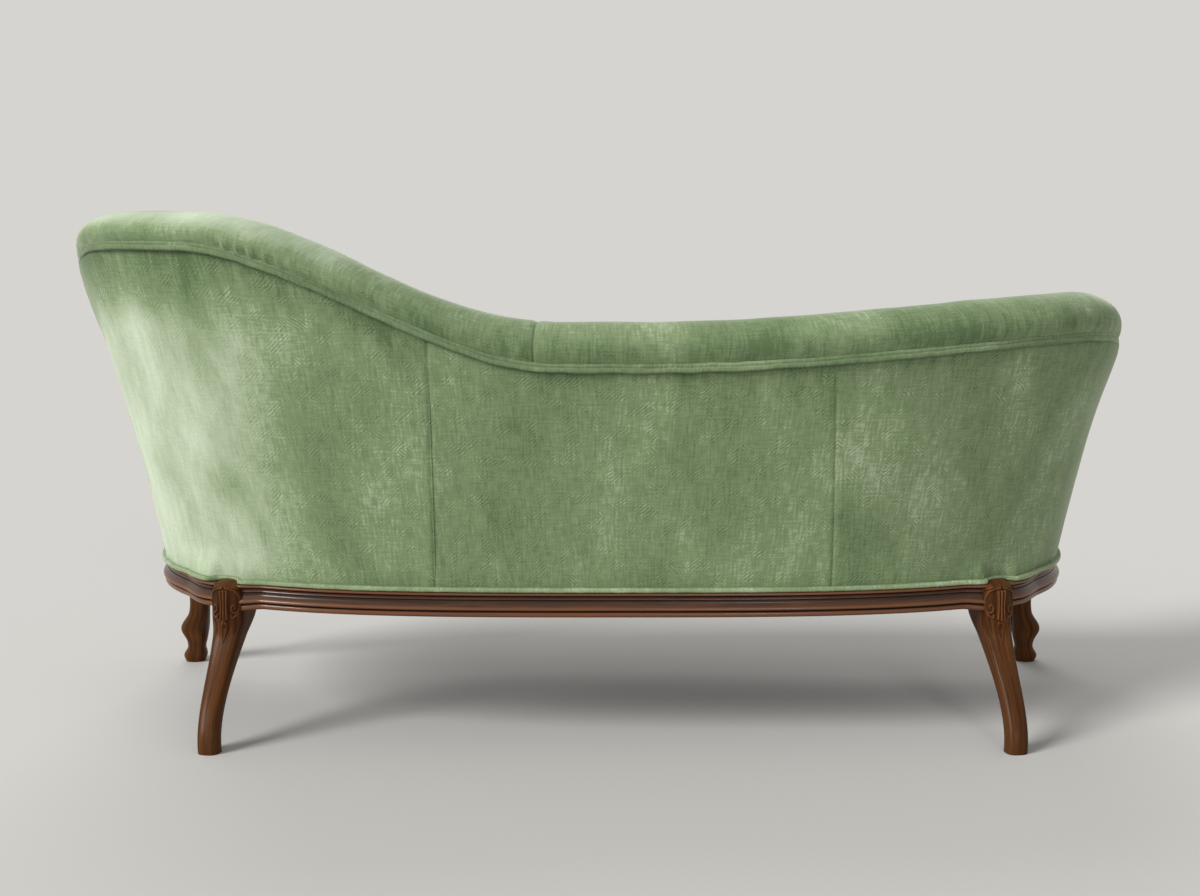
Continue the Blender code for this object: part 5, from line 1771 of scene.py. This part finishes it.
@dataclass(frozen=True)
class RearLeg(Leg):
    """A rear leg: set square to the back's curve, bracketed under the rail and swept back to its foot."""

    kind: str = "rear"
    turn: float = math.radians(11)
    block_depth: float = 0.083
    block_reach: float = 0.034
    head_width: float = 0.046
    head_depth: float = 0.037
    head_setback: float = 0.012
    bracket_width: float = 0.060
    bracket_depth: float = 0.074
    bow: float = 0.006
    splay: float = 0.120
    taper: float = 2.6
    proud: float = 0.005
    belly: float = 0.009
    knee_from: float = 0.168
    knee_ease: float = 0.055
    cap_width: float = 0.054
    cap_depth: float = 0.027
    cap_lean: float = 0.60
    crest: float = 0.006
    arch: float = 0.010

    def axes(self) -> tuple[Vector, Vector, Vector]:
        """The knee's place and directions.

        Returns:
            Its middle in plan and the directions across the knee and outwards from it.
        """
        side = self.end.value
        across, back = self.tub.plan(np.array([side * self.tub.leg_run]), np.array([0.0]))
        out_way = Vector((side * math.sin(self.turn), math.cos(self.turn)))
        in_way = Vector((-side * math.cos(self.turn), math.sin(self.turn)))
        middle = Vector((across[0], back[0])) + out_way * (self.block_reach - self.block_depth / 2)
        return middle, in_way, out_way

    def row(self, height: Array) -> LegRow:
        """The leg's levels.

        Args:
            height: Heights above the floor.

        Returns:
            The level at each height.
        """
        share = part(height, 0.0, self.tub.rail_bottom)
        thick = share**self.taper
        across = -self.bow * np.sin(math.pi * share)
        outward = self.splay * (1.0 - smooth(share))
        width = self.foot_width + (self.bracket_width - self.foot_width) * thick
        depth = self.foot_width + (self.bracket_depth - self.foot_width) * thick
        square = self.shank_square + (self.block_square - self.shank_square) * thick
        block = smooth((height - self.knee_from) / self.knee_ease)
        above = height - self.tub.ledge
        cap = smooth(above / self.step)
        leaned = self.cap_depth * (1.0 - self.cap_lean * smooth(above / self.crest))
        cap_outward = self.block_depth / 2 + self.proud - self.cap_depth + leaned / 2
        head = smooth((above - self.crest) / 0.001)
        head_outward = self.block_depth / 2 - self.block_reach - self.head_setback - self.head_depth / 2
        for part_share, part_outward, part_width, part_depth in (
                (block, self.proud / 2, self.tub.block_width, self.block_depth + self.proud),
                (cap, cap_outward, self.cap_width, leaned),
                (head, head_outward, self.head_width, self.head_depth)):
            outward = outward + part_share * (part_outward - outward)
            width = width + part_share * (part_width - width)
            depth = depth + part_share * (part_depth - depth)
        return LegRow(across, outward, width, depth, square)


@dataclass(frozen=True)
class FrontLeg(Leg):
    """A front leg: a square knee in the corner of the frame, and a shank with a scroll above its toe."""

    kind: str = "front"
    block_reach: float = 0.017
    block_inner: float = 0.767
    knee_width: float = 0.054
    shank_width: float = 0.039
    scroll_width: float = 0.052
    ankle_width: float = 0.034
    toe_width: float = 0.044
    splay: float = 0.026
    side_splay: float = 0.018

    @property
    def block(self) -> tuple[float, float, float, float]:
        """Edges of the knee in the plan: outer, inner, back and front."""
        tub = self.tub
        return (tub.half_length + self.block_reach, self.block_inner, tub.front - tub.gap,
                tub.front_line_base - self.block_reach)

    def axes(self) -> tuple[Vector, Vector, Vector]:
        """The knee's place and directions.

        Returns:
            Its middle in plan and the directions across the knee and outwards from it.
        """
        outer, inner, back, front = self.block
        shift_x, shift_y = self.tub.shift
        side = self.end.value
        middle = Vector((side * (outer + inner) / 2 + shift_x, (front + back) / 2 + shift_y))
        return middle, Vector((side, 0.0)), Vector((0.0, -1.0))

    def row(self, height: Array) -> LegRow:
        """The leg's levels.

        Args:
            height: Heights above the floor.

        Returns:
            The level at each height.
        """
        outer, inner, back, front = self.block
        shares = [0.0, 0.05, 0.14, 0.20, 0.28, 0.47, 0.65, 0.84, 1.0]
        widths = [self.foot_width, self.toe_width, self.ankle_width, self.shank_width, self.scroll_width,
                  self.shank_width, self.shank_width, self.knee_width, outer - inner]
        moves = [1.0, 1.0, 0.75, 0.70, 0.95, 0.15, 0.05, 0.15, 0.0]
        share = part(height, 0.0, self.tub.rail_bottom)
        width = curve_through(share, shares, widths)
        moved = curve_through(share, shares, moves)
        depth = curve_through(share, shares, widths[:-1] + [back - front])
        square = self.shank_square + (self.block_square - self.shank_square) * smooth((share - 0.8) / 0.2)
        head = smooth((height - self.tub.ledge) / self.step)
        head_outer = self.tub.half_length - self.tub.rebate
        head_front = self.tub.front_line_base + self.tub.rebate
        across = self.side_splay * moved + head * ((head_outer - outer) / 2)
        outward = self.splay * moved + head * ((front - head_front) / 2)
        width = width + head * (head_outer - inner - width)
        depth = depth + head * (back - head_front - depth)
        return LegRow(across, outward, width, depth, square)


# Seat and underside


@dataclass(frozen=True)
class Seat:
    """The stuffed seat with its rounded front edge, and the border under it."""

    tub: TubBack
    velvet: Finish
    edge: float = 0.376
    crown: float = 0.026
    crown_power: float = 4.0
    # Shares of half a wave between which the crown is cut
    crown_start: float = 0.06
    crown_stop: float = 0.90
    back_rounding: float = 0.012
    back_drop: float = 0.020
    front_rounding: float = 0.030
    front_belly: float = 0.006
    side_gap: float = -0.003
    border_top: float = 0.297
    tacked_below: float = 0.312
    loosening: float = 0.040
    stuffing: float = 4.0
    slack: float = 0.010
    swell: float = 0.009
    columns: int = 240
    rows: int = 150
    border_columns: int = 300
    border_rows: int = 24
    border_face: float = 0.8

    @property
    def half_width(self) -> float:
        """Half the seat's length between the arms."""
        return self.tub.half_length - self.tub.inside_line - self.tub.inside_belly - self.side_gap

    def back_line(self, across: Array) -> Array:
        """Y of the seat's back edge, for X measured from the settee's middle."""
        tub = self.tub
        return tub.inner_line(across, -(tub.inside_line + tub.inside_belly + self.side_gap))

    def build(self) -> None:
        """Make the seat and the border."""
        piece = model("stuffed_seat", self.columns, self.rows, self.seat)
        spots = points(piece)
        across = spots[:, 0] - self.tub.shift[0]
        back = self.back_line(across)
        free = smooth((spots[:, 2] - self.tacked_below) / self.loosening)
        free *= smooth((self.half_width - np.abs(across)) / self.loosening)
        free *= smooth((back - spots[:, 1]) / self.loosening)
        settle(piece, free, self.stuffing, self.slack, self.swell)
        fit(piece, self.velvet, ["seat_cover", "seat_stuffing"])
        piece = model("seat_front_border", self.border_columns, self.border_rows, self.border)
        fit(piece, self.velvet, ["front_border"])

    def seat(self, along: Array, round_: Array) -> Skin:
        """The seat's skin: up the front, over the crown, down the back and along the deck.

        Args:
            along: Share of the way to the high end.
            round_: Share of the way round it.

        Returns:
            The skin.
        """
        tub = self.tub
        across = 0.998 * self.half_width * np.sin(math.pi * (along - 0.5))
        front = tub.front_line(across)
        back = self.back_line(across)
        room = back - front
        rounding = np.minimum(self.front_rounding, room / 3)
        foot = self.border_top + tub.gap
        # Shares of the way round at which the front, its rounding, the top, its rounding and the back end
        front_end, bend_end, top_end, drop_end, back_end = 0.13, 0.23, 0.82, 0.88, 0.92
        rise = part(round_, 0.0, front_end)
        spot = front - self.front_belly * np.sin(math.pi * rise)
        height = foot + (self.edge - rounding - foot) * rise
        bend = 0.5 * math.pi * part(round_, front_end, bend_end)
        turning = round_ > front_end
        spot = np.where(turning, front + rounding * (1.0 - np.cos(bend)), spot)
        height = np.where(turning, self.edge - rounding * (1.0 - np.sin(bend)), height)
        over = part(round_, bend_end, top_end)
        crown = self.crown * (1.0 - (np.abs(across) / self.half_width) ** self.crown_power)
        on_top = round_ > bend_end
        start = front + rounding
        spot = np.where(on_top, start + (back - self.back_rounding - start) * over, spot)
        rounded = np.sin(math.pi * (self.crown_start + (self.crown_stop - self.crown_start) * over))
        swell = crown * rounded - crown * math.sin(math.pi * self.crown_start) * (1.0 - over)
        swell = swell + 0.0030 * uneven(across, spot, 0.120, 16.5) * np.sin(math.pi * over)
        height = np.where(on_top, self.edge + swell, height)
        drop = part(round_, top_end, drop_end) * 0.5 * math.pi
        past = round_ > top_end
        last = self.edge + crown * math.sin(math.pi * self.crown_stop)
        spot = np.where(past, back - self.back_rounding * (1.0 - np.sin(drop)), spot)
        height = np.where(past, last - self.back_drop * (1.0 - np.cos(drop)), height)
        deck = tub.seat_deck + tub.gap
        fall = part(round_, drop_end, back_end)
        fallen = last - self.back_drop
        height = np.where(round_ > drop_end, fallen + (deck - fallen) * fall, height)
        under = part(round_, back_end, 1.0)
        below = round_ > back_end
        spot = np.where(below, back + (front - back) * under, spot)
        height = np.where(below, deck + (foot - deck) * under, height)
        places = np.column_stack((across + tub.shift[0], spot, height))
        girth = np.where(on_top, 0.1 + room * over, 0.1 * part(round_, 0.0, bend_end))
        return Skin(places, np.column_stack((across + 12.0, girth)), np.ones(along.shape))

    def border(self, along: Array, round_: Array) -> Skin:
        """The border's skin: up its face, and down behind it.

        Args:
            along: Share of the way to the high end.
            round_: Share of the way round it.

        Returns:
            The skin.
        """
        tub = self.tub
        across = (tub.half_length + 0.0025) * (2.0 * along - 1.0)
        on_face = round_ <= self.border_face
        up = np.where(on_face, round_ / self.border_face, (1.0 - round_) / (1.0 - self.border_face))
        out = np.where(on_face, 0.0022 * np.sin(math.pi * up), -0.003)
        out = out + 0.0006 * uneven(across, up * 0.0, 0.016, 17.5) * on_face
        height = tub.foot + (self.border_top - tub.foot) * up
        places = np.column_stack((across + tub.shift[0], tub.front_line(across) - out, height))
        # Painted shade along the border's top, under the seat's front edge
        relief = 1.0 - 0.5 * hump(up, 1.0, 0.12)
        return Skin(places, np.column_stack((across + 12.0, height)), relief)


@dataclass(frozen=True)
class Underside:
    """The black cloth tacked under the seat frame, which sags a little between the rails."""

    tub: TubBack
    cambric: Finish
    sag: float = 0.007
    cuts: int = 3

    def build(self) -> None:
        """Make the cloth from a copy of its CAD solid."""
        low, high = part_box("dust_cover")
        source = frame["nodes"]["dust_cover"]
        piece = bpy.data.objects.new("dust_cloth", source.data.copy())
        bpy.context.scene.collection.objects.link(piece)
        alone(piece)
        bpy.ops.object.mode_set(mode="EDIT")
        bpy.ops.mesh.select_all(action="SELECT")
        bpy.ops.mesh.remove_doubles(threshold=WELD)
        bpy.ops.mesh.subdivide(number_cuts=self.cuts)
        bpy.ops.object.mode_set(mode="OBJECT")
        spots = points(piece)
        width, length = high.x - low.x, high.y - low.y
        inside = (spots[:, 0] - low.x) * (high.x - spots[:, 0]) * 4.0 / width**2
        inside *= np.clip((spots[:, 1] - low.y) * (high.y - spots[:, 1]) * 4.0 / length**2, 0.0, 1.0)
        spots[:, 2] -= self.sag * smooth(inside * 1.2)
        piece.data.vertices.foreach_set("co", spots.ravel())
        piece.data.update()
        bpy.ops.object.shade_smooth_by_angle(angle=math.radians(40))
        fit(piece, self.cambric, ["dust_cover"])


@dataclass(frozen=True)
class HiddenFrame:
    """The CAD pieces that stay as they are inside the upholstery, and their finishes."""

    def dress(self) -> None:
        """Give each shown CAD node its finish."""
        finishes = {
            Slot.BEECH: PlainWood().build(),
            Slot.HESSIAN: PlainWeave("jute_hessian", "#b69a6c", "#6b5233", 0.0022).build(),
            Slot.WEBBING: PlainWeave("jute_webbing", "#b39668", "#71583a", 0.0030).build(),
            Slot.SPRING: DrawnSteel("drawn_spring_wire", "#a39f98", "#6f675c").build(),
            Slot.SCREW: DrawnSteel("bright_screw_steel", "#b5b2ab", "#8a857c", 0.28).build(),
        }
        slots = {row["node"]: row["material_slot"] for row in frame["record"]["subparts"]}
        for name, node in frame["nodes"].items():
            if node.hide_render:
                continue
            finish = finishes[Slot(slots[name])]
            node.data.materials.clear()
            node.data.materials.append(finish)
            LOG.info("%s: CAD solid in %s", name, finish.name)


# Studio


@dataclass(frozen=True)
class Lamp:
    """A soft lamp, far off: where it stands, its strength and how wide it looks."""

    name: str
    stand: tuple[float, float, float]
    strength: float
    spread: float

    @property
    def way(self) -> Vector:
        """The direction from the settee to the lamp."""
        return Vector(self.stand).normalized()

    def build(self) -> None:
        """Hang the lamp."""
        light = bpy.data.lights.new(self.name, "SUN")
        light.energy = self.strength
        light.angle = math.radians(self.spread)
        lamp = bpy.data.objects.new(self.name, light)
        lamp.location = self.stand
        lamp.rotation_euler = self.way.to_track_quat("Z", "Y").to_euler()
        bpy.context.scene.collection.objects.link(lamp)


@dataclass(frozen=True)
class Studio:
    """A pale floor and a background of the same tone, soft light from the raised end, and the camera."""

    tub: TubBack
    focal_pixels: float = 1710.0
    image_width: float = 1200.0
    camera_place: tuple[float, float, float] = (0.0225, 2.9962, 0.8743)
    pitch: float = math.radians(7.833)
    yaw: float = math.radians(-0.034)
    floor_half: float = 60.0
    floor_paint: str = "#c9c7c3"
    room_light: float = 0.42
    lamps: tuple[Lamp, ...] = (
        Lamp("key_lamp", (2.8, 1.8, 2.0), 2.9, 24.0),
        Lamp("fill_lamp", (-0.5, 2.6, 1.2), 0.40, 14.0),
        Lamp("front_lamp", (0.5, -2.6, 2.4), 0.95, 40.0),
    )

    def build(self) -> None:
        """Set the floor, the lamps, the background and the camera."""
        self.floor()
        for lamp in self.lamps:
            lamp.build()
        self.background()
        self.camera()
        bpy.context.scene.view_settings.view_transform = "Standard"

    def floor(self) -> None:
        """Lay the floor."""
        bpy.ops.object.select_all(action="DESELECT")
        bpy.ops.mesh.primitive_plane_add(size=2.0 * self.floor_half)
        floor = bpy.context.object
        floor.name = "studio_floor"
        made, tree, shader = new_finish("matt_floor_paint")
        feed(tree, shader, {"Base Color": linear(self.floor_paint), "Roughness": 1.0,
                            "Specular IOR Level": 0.0})
        floor.data.materials.append(made)

    def background(self) -> None:
        """Light the room evenly, and show it in the tone that the lamps give the floor."""
        world = bpy.context.scene.world or bpy.data.worlds.new("studio")
        bpy.context.scene.world = world
        world.use_nodes = True
        tree = world.node_tree
        shade = tree.nodes["Background"]
        feed(tree, shade, {"Color": (1.0, 1.0, 1.0, 1.0), "Strength": self.room_light})
        lit = sum(lamp.strength * lamp.way.z for lamp in self.lamps) / math.pi + self.room_light
        seen = add(tree, "Background", {"Color": linear(self.floor_paint), "Strength": lit})
        path = add(tree, "LightPath", {}).node.outputs
        direct = path["Is Camera Ray"]
        for ray in ("Is Glossy Ray", "Is Transmission Ray"):
            direct = add(tree, "Math", {0: direct, 1: path[ray]}, operation="MAXIMUM")
        mixed = add(tree, "MixShader", {0: direct, 1: shade.outputs[0], 2: seen})
        feed(tree, tree.nodes["World Output"], {"Surface": mixed})

    def camera(self) -> None:
        """Place the camera at the photograph's angle."""
        lens = bpy.data.cameras.new("photo_camera")
        lens.sensor_width = 36.0
        lens.lens = self.focal_pixels * lens.sensor_width / self.image_width
        camera = bpy.data.objects.new("photo_camera", lens)
        across, back, height = self.camera_place
        camera.location = (across + self.tub.shift[0], back + self.tub.shift[1], height)
        camera.rotation_euler = (0.5 * math.pi - self.pitch, 0.0, math.pi + self.yaw)
        bpy.context.scene.collection.objects.link(camera)
        bpy.context.scene.camera = camera


def main() -> None:
    """Build the settee's pieces in order, then the studio."""
    logging.basicConfig(level=logging.INFO, format="%(name)s: %(message)s")
    tub = TubBack()
    shades = ("#576b48", "#80926c", "#c8d4bb")
    velvet = CutVelvet("cut_pile_velvet", *shades).build()
    smooth_velvet = CutVelvet("brushed_pile_velvet", *shades, pressing=0.05).build()
    cord_velvet = CutVelvet("piping_velvet", "#536746", "#758763", "#9bab89", pressing=0.04).build()
    edge_velvet = CutVelvet("edging_velvet", "#6a7d57", "#8fa07a", "#c9d5bc", pressing=0.04).build()
    walnut = PolishedWalnut().build()
    # Legs are knocked and waxed over the years, so their polish is thinner than the rails'
    worn_walnut = PolishedWalnut("worn_polished_walnut", body="#3d2311", light="#5f391b", polish=0.05,
                                 shine=0.06).build()
    OutsideBack(tub, velvet).build()
    RolledBack(tub, smooth_velvet).build()
    for end in End:
        ArmFacing(tub, smooth_velvet, end).build()
    Trim(tub, cord_velvet, edge_velvet).build()
    SeatRails(tub, walnut).build()
    carving = KneeCarving()
    for end in End:
        RearLeg(tub, worn_walnut, carving, end).build()
        FrontLeg(tub, worn_walnut, carving, end).build()
    Seat(tub, smooth_velvet).build()
    Underside(tub, PlainWeave("black_cambric", "#2a2a2c", "#101012", 0.0016).build()).build()
    HiddenFrame().dress()
    Studio(tub).build()


if __name__ == "__main__":
    main()
